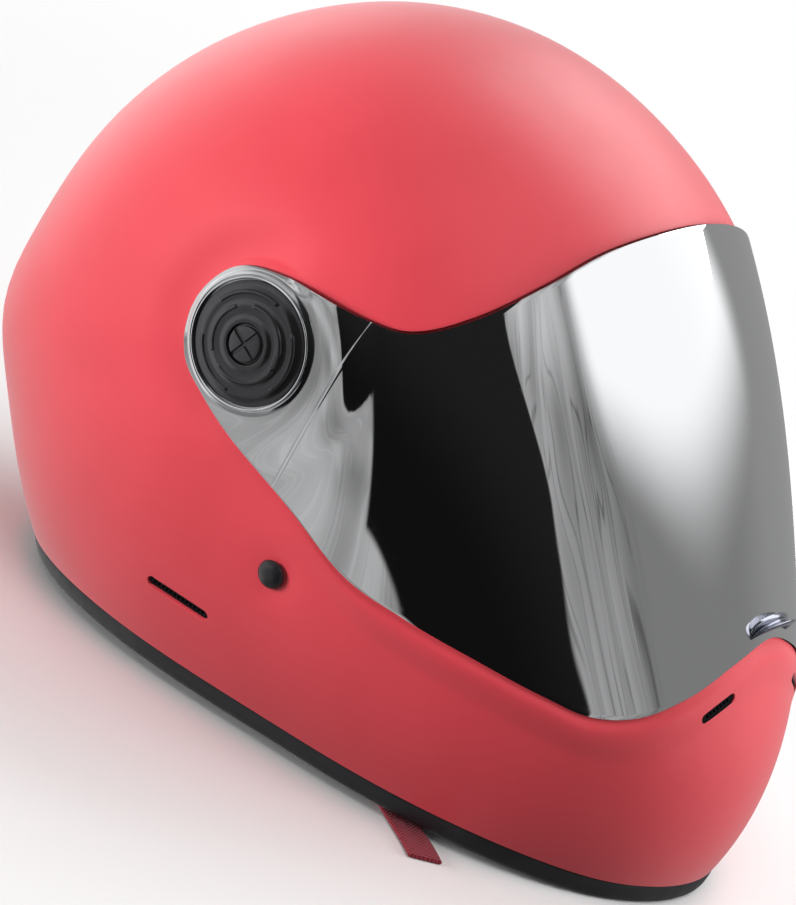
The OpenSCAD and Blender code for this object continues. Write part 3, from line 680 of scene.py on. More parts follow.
@dataclass
class Skin:
    """The skin that all outer forms lie on, and the outlines drawn on it.

    Places on it are [clock, lean] in degrees; points are [side, forward, up] from the hinge.
    """

    half_w: float = 118.0
    wall: float = 3.0
    hinge_h: float = 135.0
    power: float = 2.4
    ridge_h: float = 6.0
    ridge_clock: float = 203.0
    ridge_spread: float = 11.0
    ear_r: float = 26.0
    edge_gap: float = 0.8
    lip_w: float = 0.4
    seat_depth: float = 3.2
    floor_sink: float = 3.8
    play: float = 0.3
    cover_r: float = 21.4
    rivet_at: tuple = (112, 36.4, -69.6)
    trim_h: float = 8.0
    rim_arch: float = 3.0
    rim_middle: float = 35.0
    radii: tuple = (134, 124, 114, 108, 109, 113, 118, 127, 139, 153, 162, 176, 184, 192, 242, 205)
    port_edge: tuple = (
        (0, 90, 73), (30, 87, 69.5), (56, 81, 59.5), (77, 74, 46), (93, 68, 31), (101, 64, 17),
        (104, 62, 8), (105, 61, 2), (105.5, 60.5, -3), (106, 60, -8), (106.3, 60.3, -13),
        (106.5, 61, -18), (106.5, 63, -24), (106.3, 67, -31), (105.5, 74, -39), (102.5, 88, -46),
        (96, 105, -50), (87, 121, -53.5), (75, 138, -55.5), (61, 151, -52), (43, 160, -44),
        (24, 164, -33), (0, 165.5, -26),
    )
    visor_top: tuple = (
        (0, 83.5, 80.5), (30, 82, 77.5), (58, 77.5, 69), (80, 72.5, 56), (97.5, 63, 40.5),
        (108, 49.5, 28.5), (113, 34, 25.5),
    )
    ear_clocks: tuple = (84, 130, 175, 215, 250)
    visor_low: tuple = (
        (117, 8, -32.8), (116, 36, -43.5), (112.6, 62, -55), (108, 86, -59), (99, 113, -62),
        (87, 135, -65), (77, 147.5, -66.5), (64, 159, -63), (47, 166, -53.5), (25, 168.4, -42),
        (0, 167.4, -35.5),
    )
    rim_bearing: tuple = (
        0, 14, 28, 40, 51, 60, 67, 74, 80, 86, 91, 97, 103, 111, 120, 129, 138, 146, 153, 160,
        166, 172, 180,
    )
    hinge_y: float = field(init=False)
    last: int = field(init=False)

    def __post_init__(self) -> None:
        """Works out where the hinge lies along the helmet's length."""
        self.last = len(self.port_edge) - 1
        clocks = np.arange(-40, 241, 1.0)
        radius, turn = self.profile(clocks), np.radians(clocks)
        kept = radius * np.sin(turn) > self.trim_h - self.hinge_h
        ahead = (radius * np.cos(turn))[kept]
        self.hinge_y = (ahead.max() + ahead.min()) / 2
        ears = [(math.cos(a), math.sin(a)) for a in map(math.radians, self.ear_clocks)]
        ears = [(self.half_w, self.ear_r * c, self.ear_r * s) for c, s in ears]
        self.visor_edge = (*self.visor_top, *ears, *self.visor_low)

    def profile(self, clock: np.ndarray) -> np.ndarray:
        """Radius of the middle profile, with the lip across the back of the head."""
        c = np.mod(clock, 360.0)
        radii = np.array(self.radii, float)
        n = len(radii)
        i, f = cell(c / (360 / n), n)
        return (
            (1 - f) ** 3 * radii[(i - 1) % n]
            + (3 * f**3 - 6 * f**2 + 4) * radii[i % n]
            + (-3 * f**3 + 3 * f**2 + 3 * f + 1) * radii[(i + 1) % n]
            + f**3 * radii[(i + 2) % n]
        ) / 6 + self.ridge_h * np.exp(-(((c - self.ridge_clock) / self.ridge_spread) ** 2))

    def spot(self, p: np.ndarray) -> np.ndarray:
        """Place on the skin of points."""
        clock = np.mod(np.degrees(np.arctan2(p[..., 2], p[..., 1])), 360.0)
        r = off_hinge(p) / self.profile(clock)
        lean = np.degrees(np.arctan2(p[..., 0] / self.half_w, r ** (self.power / 2)))
        return np.stack([clock, lean], -1)

    def at(self, spot: np.ndarray, off: Any = 0.0) -> np.ndarray:
        """Points at places on the skin, or off it by a distance."""
        clock, lean = np.radians(spot[..., 0]), np.radians(spot[..., 1])
        r = (self.profile(spot[..., 0]) + off) * np.maximum(np.cos(lean), 1e-9) ** (2 / self.power)
        side = (self.half_w + off) * np.sin(lean)
        return np.stack([side, r * np.cos(clock), r * np.sin(clock)], -1)

    def world(self, p: np.ndarray, sign: Any) -> np.ndarray:
        """Points in the frame's metres; sign is the side's sign of X."""
        x = np.asarray(sign) * p[..., 0]
        return np.stack([x, self.hinge_y - p[..., 1], self.hinge_h + p[..., 2]], -1) * MM

    def outline(self, points: Sequence, s: np.ndarray) -> np.ndarray:
        """Catmull-Rom curve through a half outline, mirrored at both ends."""
        p = np.array(points, float)
        flip = np.array([-1.0, 1.0, 1.0])
        p = np.concatenate([p[1:2] * flip, p, p[-2:-1] * flip])
        i, f = cell(s, len(points) - 2)
        return curve(p[i], p[i + 1], p[i + 2], p[i + 3], f[..., None])

    def rim_try(self, bearing: np.ndarray, r: np.ndarray) -> np.ndarray:
        """Point of the rim's plane on a bearing at a radius, with the arch at the sides."""
        x = r * np.sin(bearing)
        z = self.trim_h + self.rim_arch * smooth(40, 90, np.abs(x)) - self.hinge_h
        return np.stack([x, self.rim_middle - r * np.cos(bearing), z], -1)

    def rim(self, s: np.ndarray) -> np.ndarray:
        """Points of the shell's lower edge at stations, found by halving."""
        bearing = np.radians(np.interp(s, np.arange(self.last + 1), self.rim_bearing))
        low, high = np.full_like(bearing, 20.0), np.full_like(bearing, 230.0)
        for _ in range(30):
            middle = (low + high) / 2
            p = self.rim_try(bearing, middle)
            clock = np.degrees(np.arctan2(p[..., 2], p[..., 1]))
            r = off_hinge(p) / self.profile(clock)
            inside = r**self.power + (p[..., 0] / self.half_w) ** 2 < 1
            low, high = np.where(inside, middle, low), np.where(inside, high, middle)
        return self.rim_try(bearing, (low + high) / 2)

    def normal(self, spot: np.ndarray) -> np.ndarray:
        """Outward normals at places, as [side, forward, up]."""
        e = 0.5
        p = self.at(spot)
        a = self.at(spot + [e, 0]) - p
        b = self.at(spot + [0, e]) - p
        n = unit(np.cross(a, b))
        return n * np.where((n * p).sum(-1, keepdims=True) > 0, 1, -1)

    def frame_at(self, point: Sequence[float], sign: int, off: float = 0.0) -> Matrix:
        """Matrix that puts a piece on the skin, with Z along the outward normal."""
        spot = self.spot(np.array(point, float))
        n = self.normal(spot)
        x = unit(np.array([0, 1, 0]) - n[1] * n)
        y = np.cross(n, x)
        turned = np.array([1, -1, 1])
        axes = np.stack([x * turned, y * turned, n * turned], 1)
        axes[0] *= sign
        made = Matrix(axes.tolist()).to_4x4()
        made.translation = Vector(self.world(self.at(spot, off), sign))
        return made

    def port(self, s: np.ndarray) -> np.ndarray:
        """Points of the eye port's edge at stations."""
        return self.outline(self.port_edge, s)

    def edge(self, s: np.ndarray) -> np.ndarray:
        """Points of the visor's edge at stations."""
        return self.outline(self.visor_edge, s)

    def past(self, s: np.ndarray, d: float) -> np.ndarray:
        """Places a distance past the visor's edge, on the way out from the port."""
        a, b = self.port(s), self.edge(s)
        return self.spot(b + d * unit(b - a))

    def wall_start(self, s: np.ndarray) -> np.ndarray:
        """Places where the wall begins, just outside the gap round the visor."""
        return self.past(s, self.edge_gap + self.lip_w)

    def wall_length(self, s: np.ndarray) -> np.ndarray:
        """Distances from the visor's edge to the rim at stations."""
        return np.linalg.norm(self.rim(s) - self.edge(s), axis=-1)

    def within(self, s: np.ndarray, d: float) -> np.ndarray:
        """Places a distance past the port's edge, on the way to the visor's edge."""
        a, b = self.port(s), self.edge(s)
        return self.spot(a + d * unit(b - a))

    def hub(self, r: Any, turn: Any, out: Any, sign: int) -> np.ndarray:
        """Points about the hinge in metres.

        Args:
            r: distance from the hinge's line.
            turn: angle in radians, 0 ahead and a quarter turn up.
            out: distance outward from the helmet's middle.
            sign: the side's sign of X.

        Returns:
            The points.
        """
        x, y, z = sign * out, self.hinge_y - r * np.cos(turn), self.hinge_h + r * np.sin(turn)
        return np.stack(np.broadcast_arrays(x, y, z), -1) * MM


def loop_stations(last: int, each: int) -> tuple[np.ndarray, np.ndarray]:
    """Stations and side signs round the whole loop, with so many places for each station."""
    half = last * each
    j = np.arange(2 * half)
    return np.minimum(j, 2 * half - j) / each, np.where(j <= half, 1, -1)


def placed(points: np.ndarray, matrix: Matrix) -> np.ndarray:
    """Points in millimetres put into the frame's metres by a matrix."""
    m = np.array(matrix)
    return points * MM @ m[:3, :3].T + m[:3, 3]


def revolve(profile: Sequence[Sequence[float]], count: int) -> np.ndarray:
    """Sections of a closed profile of [radius, height] turned about Z.

    Args:
        profile: the profile's points.
        count: how many sections.

    Returns:
        An array of sections, profile points and axes.
    """
    p = np.array(profile, float)
    turn = around(count)[:, None]
    r, z = p[None, :, 0], p[None, :, 1]
    return np.stack(np.broadcast_arrays(r * np.cos(turn), r * np.sin(turn), z), -1)


def smooth_run(points: np.ndarray, n: int) -> np.ndarray:
    """Catmull-Rom run of n + 1 points through the given ones."""
    p = np.array(points, float)
    m = len(p) - 1
    i, f = cell(np.arange(n + 1) * m / n, m - 1)
    return curve(p[np.maximum(0, i - 1)], p[i], p[i + 1], p[np.minimum(m, i + 2)], f[:, None])


# ---------------------------------------------------------------- the shell


@dataclass
class Shell:
    """The lacquered shell with its seat for the visor, its rolled chin edge and its slots."""

    skin: Skin
    chin_roll: float = 1.6
    dimple: float = 1.3
    dimple_r: float = 8.5
    hollow: float = 1.6
    chin_slot_at: tuple = (32.4, 173.7, -56.2)
    chin_slot: tuple = (17.5, 3.2)
    chin_tilt: float = 78.0
    side_slot_at: tuple = (104, 3, -99)
    side_slot: tuple = (27.0, 3.6)
    seat_shares: tuple = (0, 0.02, 0.15, 0.35, 0.55, 0.75, 0.9)
    lip: tuple = (
        (-0.5, 0), (-0.3, 0.02), (-0.2, 0.14), (-0.14, 0.4), (-0.08, 0.7), (0.02, 0.9),
        (0.16, 0.98),
    )
    near: tuple = (0, 0.8, 1.6, 2.4, 3.2, 4.2, 5.5, 7, 9, 11, 13, 15, 17)
    mouth: tuple = ((-9, 0), (-1.3, 0), (-0.6, 0.1), (-0.2, 0.32), (0.15, 0.65), (3, 1.3))
    middle: tuple = (0, 0, 0.12)
    inward: float = -0.4
    crisp: float = 38.0
    each: int = 12
    wall_rows: int = 66

    def seat_point(self, spot: np.ndarray, depth: float) -> np.ndarray:
        """Points of the sunk seat, flat under the pivots."""
        p = self.skin.at(spot, -self.skin.seat_depth - depth)
        p[..., 0] = np.minimum(p[..., 0], self.skin.half_w - self.skin.floor_sink - depth)
        return p

    def relief(self, p: np.ndarray, s: np.ndarray, d: np.ndarray) -> np.ndarray:
        """Height of the outer surface over the skin.

        Args:
            p: points on the skin.
            s: their stations.
            d: their distances past the seat's edge.

        Returns:
            The heights.
        """
        roll = self.chin_roll * smooth(12, 15, s) * smooth(0.2, 4, d) * (1 - smooth(5, 17, d))
        away = np.linalg.norm(p - np.array(self.skin.rivet_at, float), axis=-1)
        dent = self.dimple * np.exp(-((away / self.dimple_r) ** 2))
        ear = off_hinge(p) - self.skin.ear_r
        behind = smooth(12, -14, p[..., 1])
        soft = self.hollow * smooth(0, 3, ear) * (1 - smooth(4, 20, ear)) * behind
        return roll - dent - soft

    def build(self) -> bpy.types.Object:
        """Builds the shell's mesh and cuts its slots."""
        skin = self.skin
        s, sign = loop_stations(skin.last, self.each)
        port, edge = skin.port(s), skin.edge(s)
        outer, inner = [], []
        for share in self.seat_shares:
            spot = skin.spot(blend(port, edge, share))
            outer.append(self.seat_point(spot, 0))
            inner.append(self.seat_point(spot, skin.wall))
        for d, rise in self.lip:
            spot = skin.past(s, skin.edge_gap + d)
            outer.append(blend(self.seat_point(spot, 0), skin.at(spot), rise))
            inner.append(blend(self.seat_point(spot, skin.wall), skin.at(spot, -skin.wall), rise))
        start, end = skin.wall_start(s), skin.spot(skin.rim(s))
        length = skin.wall_length(s)
        first = self.near[-1] / length
        shares = [d / length for d in self.near[:-1]]
        shares += [first + (1 - first) * k / (self.wall_rows - 1) for k in range(self.wall_rows)]
        for share in shares:
            spot = blend(start, end, share[:, None])
            base = skin.at(spot)
            outer.append(skin.at(spot, self.relief(base, s, share * length)))
            inner.append(skin.at(spot, -skin.wall))
        faces = (skin.world(np.array(face), sign) for face in (outer, inner))
        made = make_piece("shell_lacquered", *slab(*faces, True))
        tilt = Matrix.Rotation(math.radians(self.chin_tilt), 4, "Z")
        for side in Side:
            chin = skin.frame_at(self.chin_slot_at, side.value, 0.8 * self.chin_roll) @ tilt
            self.cut(made, chin, *self.chin_slot)
            self.cut(made, skin.frame_at(self.side_slot_at, side.value), *self.side_slot)
        sharpen(made, self.crisp)
        return made

    def line(self, made: bpy.types.Object, bare: bpy.types.Material) -> None:
        """Leaves the side that faces the helmet's middle unpainted."""
        made.data.materials.append(bare)
        middle = Vector(self.middle)
        for face in made.data.polygons:
            if face.normal.dot((face.center - middle).normalized()) < self.inward:
                face.material_index = 1

    def cut(self, made: bpy.types.Object, matrix: Matrix, length: float, width: float) -> None:
        """Cuts one round-ended slot whose mouth flares out."""
        turn = around(48)
        along = np.where(np.cos(turn) >= 0, 1, -1) * (length - width) / 2
        rings = []
        for z, grow in self.mouth:
            r = width / 2 + grow
            ring = (along + r * np.cos(turn), r * np.sin(turn), np.full_like(turn, z))
            rings.append(np.stack(ring, -1))
        carve(made, make_piece("cutter", *tube_of(placed(np.array(rings), matrix), False)))


def carve(made: bpy.types.Object, cutter: bpy.types.Object) -> None:
    """Takes a cutter away from a piece and removes the cutter."""
    add_modifier(made, "BOOLEAN", operation="DIFFERENCE", solver="EXACT", object=cutter)
    bpy.context.view_layer.update()
    apply_modifiers(made)
    bpy.data.objects.remove(cutter)


# ---------------------------------------------------------------- the visor


@dataclass
class Visor:
    """The mirrored visor with its round ears, its lift tab and its bright rings."""

    skin: Skin
    wall: float = 2.2
    brow_gap: float = 0.6
    sink: float = 1.0
    ear_lift: float = 0.4
    ear_blend: float = 46.0
    boss_r: float = 14.3
    tab_w: float = 30.0
    tab_reach: float = 5.0
    tab_drop: float = 2.4
    skew: float = 0.33
    slope: float = 1.0
    slope_r: float = 24.4
    round_way: tuple = (-0.67, 0.74)
    pairs: tuple = (
        (0, 22, 5.6), (1, 21, 5.6), (2, 19.6, 5.6), (3, 18, 5.4), (4, 16.5, 4.8), (5, 15, 3.9),
        (6, 14, 2.8), (7, 12.3, 0.6), (8, 10.5, 0), (8.9, 9.15, 0),
    )
    ring_profile: tuple = (
        (0, -0.02), (3.0, -0.02), (3.0, 0.1), (2.7, 0.42), (2.2, 0.72), (1.7, 0.95), (1.5, 0.5),
        (1.2, 0.45), (1.05, 1.1), (0.9, 1.45), (0.6, 1.55), (0.35, 1.45), (0.25, 0.9),
        (0.1, 0.8), (0, 0.7),
    )
    # Sections of the lift tab: inward offset, share of its reach, height of its arch, the
    # arch's exponent and the height over the visor's edge
    tab_rows: tuple = (
        (-1.2, 0, 5.6, 1, -0.5), (0, 0.1, 5.8, 1, -0.45), (0, 0.5, 6.8, 1, -0.4),
        (0, 0.82, 7.7, 1, -0.3), (0.1, 0.96, 8.4, 1, 0), (0.15, 1, 9.0, 1, 0.3),
        (0.1, 0.97, 9.3, 1, 0.6), (-0.1, 0.9, 9.2, 1, 0.6), (-0.1, 0.8, 8.7, 1.05, 0.4),
        (-0.1, 0.62, 8.2, 1.15, 0.25), (-0.1, 0.42, 7.9, 1.25, 0.2), (0, 0.26, 7.8, 1.3, 0.25),
        (0.05, 0.19, 7.9, 1.3, 0.4), (0.1, 0.17, 8.1, 1.3, 0.6), (0.1, 0.14, 8.2, 1.2, 0.8),
        (0.1, 0.08, 8.3, 0.9, 0.9), (0, 0, 8.4, 0.62, 1.0), (-1.2, 0, 8.4, 0.62, 1.0),
    )
    tab_share: float = 0.985
    tab_turn: float = 1.52
    bore_span: tuple = (114.0, 126.0)
    each: int = 16
    rows: int = 90

    def pair_at(self, u: np.ndarray) -> np.ndarray:
        """Stations on the upper and lower edges, and the bulge between them, at pair numbers."""
        p = np.array(self.pairs, float)
        p = np.concatenate([[2 * p[0] - p[1]], p, [2 * p[-1] - p[-2]]])
        p[0, 2] = p[2, 2]
        i, f = cell(u, len(self.pairs) - 2)
        made = curve(p[i], p[i + 1], p[i + 2], p[i + 3], f[..., None])
        made[..., 0] = np.clip(made[..., 0], 0, None)
        made[..., 1] = np.clip(made[..., 1], None, self.skin.last)
        return made

    def point(self, u: np.ndarray, w: np.ndarray, depth: float) -> np.ndarray:
        """Points of the visor.

        Args:
            u: pair numbers, 0 in the middle.
            w: shares from the upper edge to the lower.
            depth: distance over the visor's back.

        Returns:
            Points as [side, forward, up].
        """
        skin = self.skin
        station = self.pair_at(u)
        top = skin.outline(skin.visor_edge, station[..., 0])
        low = skin.outline(skin.visor_edge, station[..., 1])
        sunk = (self.brow_gap + self.sink) * smooth(50, 110, low[..., 1])
        a = skin.at(skin.spot(top), self.brow_gap + depth)
        b = skin.at(skin.spot(low), self.brow_gap - sunk + depth)
        out = unit((a + b) / 2)
        rise = 4 * w * (1 - w) * (1 + self.skew * (1 - 2 * w)) * station[..., 2]
        q = blend(a, b, w[..., None]) + rise[..., None] * out
        r = off_hinge(q)
        away = smooth(skin.ear_r - 2, self.ear_blend, r)
        q[..., 0] = blend(skin.half_w + self.ear_lift + depth, q[..., 0], away)
        facing = (q[..., 1] * self.round_way[0] + q[..., 2] * self.round_way[1]) / np.maximum(r, 1)
        slope = smooth(self.slope_r, skin.ear_r + 0.4, r) * smooth(0.3, 0.62, facing)
        q[..., 0] -= self.slope * slope * (depth > 0)
        return q

    def build(self) -> bpy.types.Object:
        """Builds the visor's mesh with rounded edges and the bores in its ears."""
        skin = self.skin
        half = (len(self.pairs) - 1) * self.each
        j = np.arange(-half, half + 1)
        u, w = np.meshgrid(np.abs(j) / self.each, np.linspace(0, 1, self.rows))
        sign = np.where(j < 0, 1, -1)[None, :]
        faces = (skin.world(self.point(u, w, depth), sign) for depth in (self.wall, 0))
        made = make_piece("visor_mirrored", *slab(*faces, False))
        for side in Side:
            rings = [skin.hub(self.boss_r, around(96), out, side.value) for out in self.bore_span]
            carve(made, make_piece("bore", *tube_of(np.array(rings), False)))
        return soften(made, 48, 0.7, 3)

    def ring(self, side: Side) -> bpy.types.Object:
        """Builds the bright ring round the pivot's cover, with two fine grooves."""
        skin = self.skin
        face = skin.half_w + self.ear_lift + self.wall
        a = skin.cover_r + skin.play
        p = np.array(self.ring_profile) + [a, 0]
        turn = around(160)[:, None]
        sections = skin.hub(p[None, :, 0], turn, face + p[None, :, 1], side.value)
        return make_piece(f"visor_ring_{side.word}", *tube_of(sections, True), crisp=34)

    def tab(self) -> bpy.types.Object:
        """Builds the tab that lifts the visor, an arched shelf that runs out into its lip."""
        top = self.point(np.array(0.0), np.array(self.tab_share), self.wall)
        place = self.skin.world(top, 1)
        rows = np.array(self.tab_rows)
        turn = np.linspace(-self.tab_turn, self.tab_turn, 97)[:, None]
        full = np.cos(turn)
        x = self.tab_w / 2 * np.sin(turn)
        y = -rows[:, 0] - rows[:, 1] * self.tab_reach * full + x**2 / 200
        z = rows[:, 2] * full ** rows[:, 3] + rows[:, 4] - self.tab_drop
        sections = np.stack([x + 0 * y, y, z], -1)
        sections = cut_corners(sections, 1) * MM + place
        return make_piece("visor_lift_tab", *tube_of(sections, False), crisp=60)


# ---------------------------------------------------------------- the pivots


@dataclass
class Pivot:
    """One side's pivot: the ribbed cover and the quarter-turn lock in its middle."""

    skin: Skin
    side: Side
    cover_rise: float = 3.6
    cover_edge: float = 0.8
    lock_r: float = 6.8
    shaft_r: float = 3.6
    ledge: float = 1.0
    ear_face: float = 120.6
    wave_h: float = 0.35
    slot_w: float = 1.1
    outer_ribs: tuple = ((74, 151), (-34, 36), (196, 268))
    inner_ribs: tuple = ((131, 216), (11, 101), (241, 346))
    outer_r: float = 17.6
    inner_r: float = 13.1
    shaft_end: float = -5.6
    slot_angles: tuple = (30.0, 120.0)

    @property
    def bottom(self) -> float:
        """Distance of the cover's underside from the helmet's middle."""
        return self.ear_face + self.skin.play

    def ribs(self, r: np.ndarray, turn: np.ndarray) -> np.ndarray:
        """Height of the arc ribs at radii and angles in degrees."""
        height = np.zeros(np.broadcast(r, turn).shape)
        for arcs, middle in ((self.outer_ribs, self.outer_r), (self.inner_ribs, self.inner_r)):
            across = 1 - smooth(0.35, 0.8, np.abs(r - middle))
            for first, last in arcs:
                centre, span = (first + last) / 2, (last - first) / 2
                away = np.abs((turn - centre + 180) % 360 - 180)
                height = np.maximum(height, across * (1 - smooth(span - 1.5, span + 1.5, away)))
        return height

    def cover(self) -> bpy.types.Object:
        """Builds the cover's mesh, a dome of shallow waves with two rings of arc ribs."""
        inner = self.lock_r + self.skin.play
        r = np.linspace(self.skin.cover_r - 0.5, inner + 0.15, 84)[None, :]
        turn = np.linspace(0, 360, 300, endpoint=False)[:, None]
        u = np.clip((r - self.lock_r) / (self.skin.cover_r - self.lock_r), 0, 1)
        top = blend(self.cover_rise, self.cover_edge, u**2)
        top = top + self.wave_h * 0.8 * np.sin(6 * math.pi * u) * (1 - 0.5 * u)
        top = top + 0.5 * self.ribs(r, turn) - 0.35
        skin, edge, bore = self.skin, self.cover_edge, self.shaft_r + self.skin.play
        rim = skin.cover_r
        low = ((bore, 0), (rim - 0.2, 0), (rim, 0.2), (rim, edge - 0.45), (rim - 0.2, edge - 0.3))
        end = ((inner, self.cover_rise - 0.5), (inner, self.ledge), (bore, self.ledge))
        low, end = (np.array(part)[:, :, None].repeat(len(turn), 2).T for part in (low, end))
        radii = np.concatenate([low[:, 0], np.tile(r, (len(turn), 1)), end[:, 0]], 1)
        heights = np.concatenate([low[:, 1], top, end[:, 1]], 1)
        sections = skin.hub(radii, np.radians(turn), self.bottom + heights, self.side.value)
        name = f"pivot_cover_{self.side.word}_ribbed"
        return make_piece(name, *tube_of(sections, True), crisp=60)

    def lock(self) -> bpy.types.Object:
        """Builds the lock: a round head with a crossed slot on a shaft."""
        head, top, down = self.lock_r, self.cover_rise + 0.3, self.shaft_end
        profile = [
            (0.01, down), (self.shaft_r, down), (self.shaft_r, self.ledge + 0.05),
            (head - 0.1, self.ledge + 0.05), (head, self.ledge + 0.2), (head, top - 1.5),
            (head - 0.2, top - 1.3), (head - 0.55, top - 1.25), (head - 0.7, top - 0.3),
            (head - 0.85, top - 0.1), (head - 1.1, top), (0.01, top),
        ]
        p = np.array(profile)
        turn = around(120)[:, None]
        sections = self.skin.hub(p[None, :, 0], turn, self.bottom + p[None, :, 1], self.side.value)
        made = make_piece(f"pivot_lock_{self.side.word}_head", *tube_of(sections, True))
        for angle in self.slot_angles:
            self.cut_slot(made, angle, top)
        sharpen(made, 36)
        return made

    def cut_slot(self, made: bpy.types.Object, angle: float, top: float) -> None:
        """Cuts one straight slot across the lock's head, at an angle in the hinge's frame."""
        a = math.radians(angle)
        length, w = self.lock_r - 0.8, self.slot_w / 2
        rings = []
        for z, grow in ((top - 0.8, -0.1), (top - 0.25, 0.0), (top + 0.02, 0.22), (top + 1, 0.9)):
            ring = []
            for x, y in ((-1, -1), (1, -1), (1, 1), (-1, 1)):
                x, y = x * (length + grow), y * (w + grow)
                low, across = x * math.cos(a) - y * math.sin(a), x * math.sin(a) + y * math.cos(a)
                ring.append(self.skin.world(
                    np.array([self.bottom + z, -across, -low], float), self.side.value))
            rings.append(ring)
        carve(made, make_piece("slot", *tube_of(np.array(rings), False)))


# ---------------------------------------------------------------- trim, seal and liners


@dataclass
class Rubbers:
    """The rubber trim under the rim, the eye port's seal and the breath guard."""

    skin: Skin
    trim_w: float = 10.0
    trim_lip: float = 6.0
    trim_play: float = 0.5
    seal_w: float = 5.0
    guard_span: tuple = (-14, 16)
    guard_depth: float = 25.4
    guard_wall: float = 1.6
    each: int = 8

    def round_loop(self, name: str, places: Sequence, sign: np.ndarray) -> bpy.types.Object:
        """Builds a rubber loop from the places that each corner of its section takes."""
        sections = self.skin.world(np.array(places).transpose(1, 0, 2), sign[:, None])
        return make_piece(name, *tube_of(cut_corners(sections, 2), True))

    def trim(self) -> bpy.types.Object:
        """Builds the trim that the helmet stands on."""
        skin = self.skin
        s, sign = loop_stations(skin.last, self.each)
        rim = skin.rim(s)
        n = skin.normal(skin.spot(rim))
        flat = np.hypot(n[:, 0], n[:, 1])
        lean = np.maximum(0, np.minimum(1, -n[:, 2] / flat) - 0.3)
        back = skin.wall / flat + self.trim_play
        h, w = skin.trim_h, self.trim_w
        one = np.ones_like(s)
        section = [
            (-0.5, -0.1), (-0.3, -3), (-1, 1.6 - h), (-2.6, -h), (-w, -h), (-w - 1.2, 1.5 - h),
            (-w - 1.2, -1.5), (-back - 2, 0.2), (-back - 1.6, self.trim_lip),
            (-back, self.trim_lip), (-back, -0.1),
        ]
        places = []
        for d, z in section:
            across = d * one + lean * z
            places.append(np.stack([rim[:, 0] + across * n[:, 0] / flat,
                                    rim[:, 1] + across * n[:, 1] / flat, rim[:, 2] + z], -1))
        return self.round_loop("rim_trim_rubber", places, sign)

    def seal(self) -> bpy.types.Object:
        """Builds the eye port's seal, which lines the port and lips over its edge."""
        skin = self.skin
        s, sign = loop_stations(skin.last, self.each)
        port = skin.port(s)
        depth = skin.seat_depth
        sag = 1.3 * (1 - smooth(2, 4.5, s)) + 1.2 * smooth(10, 13, s) * (1 - smooth(19.5, 21, s))
        top = 0.2 - sag - 1.6 * smooth(50, 110, port[:, 1]) * smooth(7, 11, s)
        back = skin.wall + depth
        one = np.ones_like(s)
        section = [(-0.3, (0.2 - depth) * one), (-0.3, -back * one), (-1.6, -back * one), (-1, top),
                   (self.seal_w - 0.6, top), (self.seal_w, (0.2 - depth) * one)]
        places = [skin.at(skin.within(s, d), off) for d, off in section]
        return self.round_loop("port_seal_rubber", places, sign)

    def guard(self) -> bpy.types.Object:
        """Builds the breath guard behind the chin bar."""
        skin = self.skin
        s = np.linspace(-2, 2, 97)
        station, sign = skin.last - np.abs(s), np.where(s <= 0, 1, -1)
        outer, inner = [], []
        for r in np.linspace(0, 1, 25):
            spot = skin.within(station, blend(*self.guard_span, r))
            dip = 0.35 * (1 - smooth(0.0, 0.12, abs((r * 4) % 1 - 0.5)))
            outer.append(skin.at(spot, -self.guard_depth))
            inner.append(skin.at(spot, dip - self.guard_depth - self.guard_wall))
        faces = (skin.world(np.array(face), sign) for face in (outer, inner))
        made = make_piece("breath_guard_rubber", *slab(*faces, False))
        return soften(made, 50, 0.5, 2)


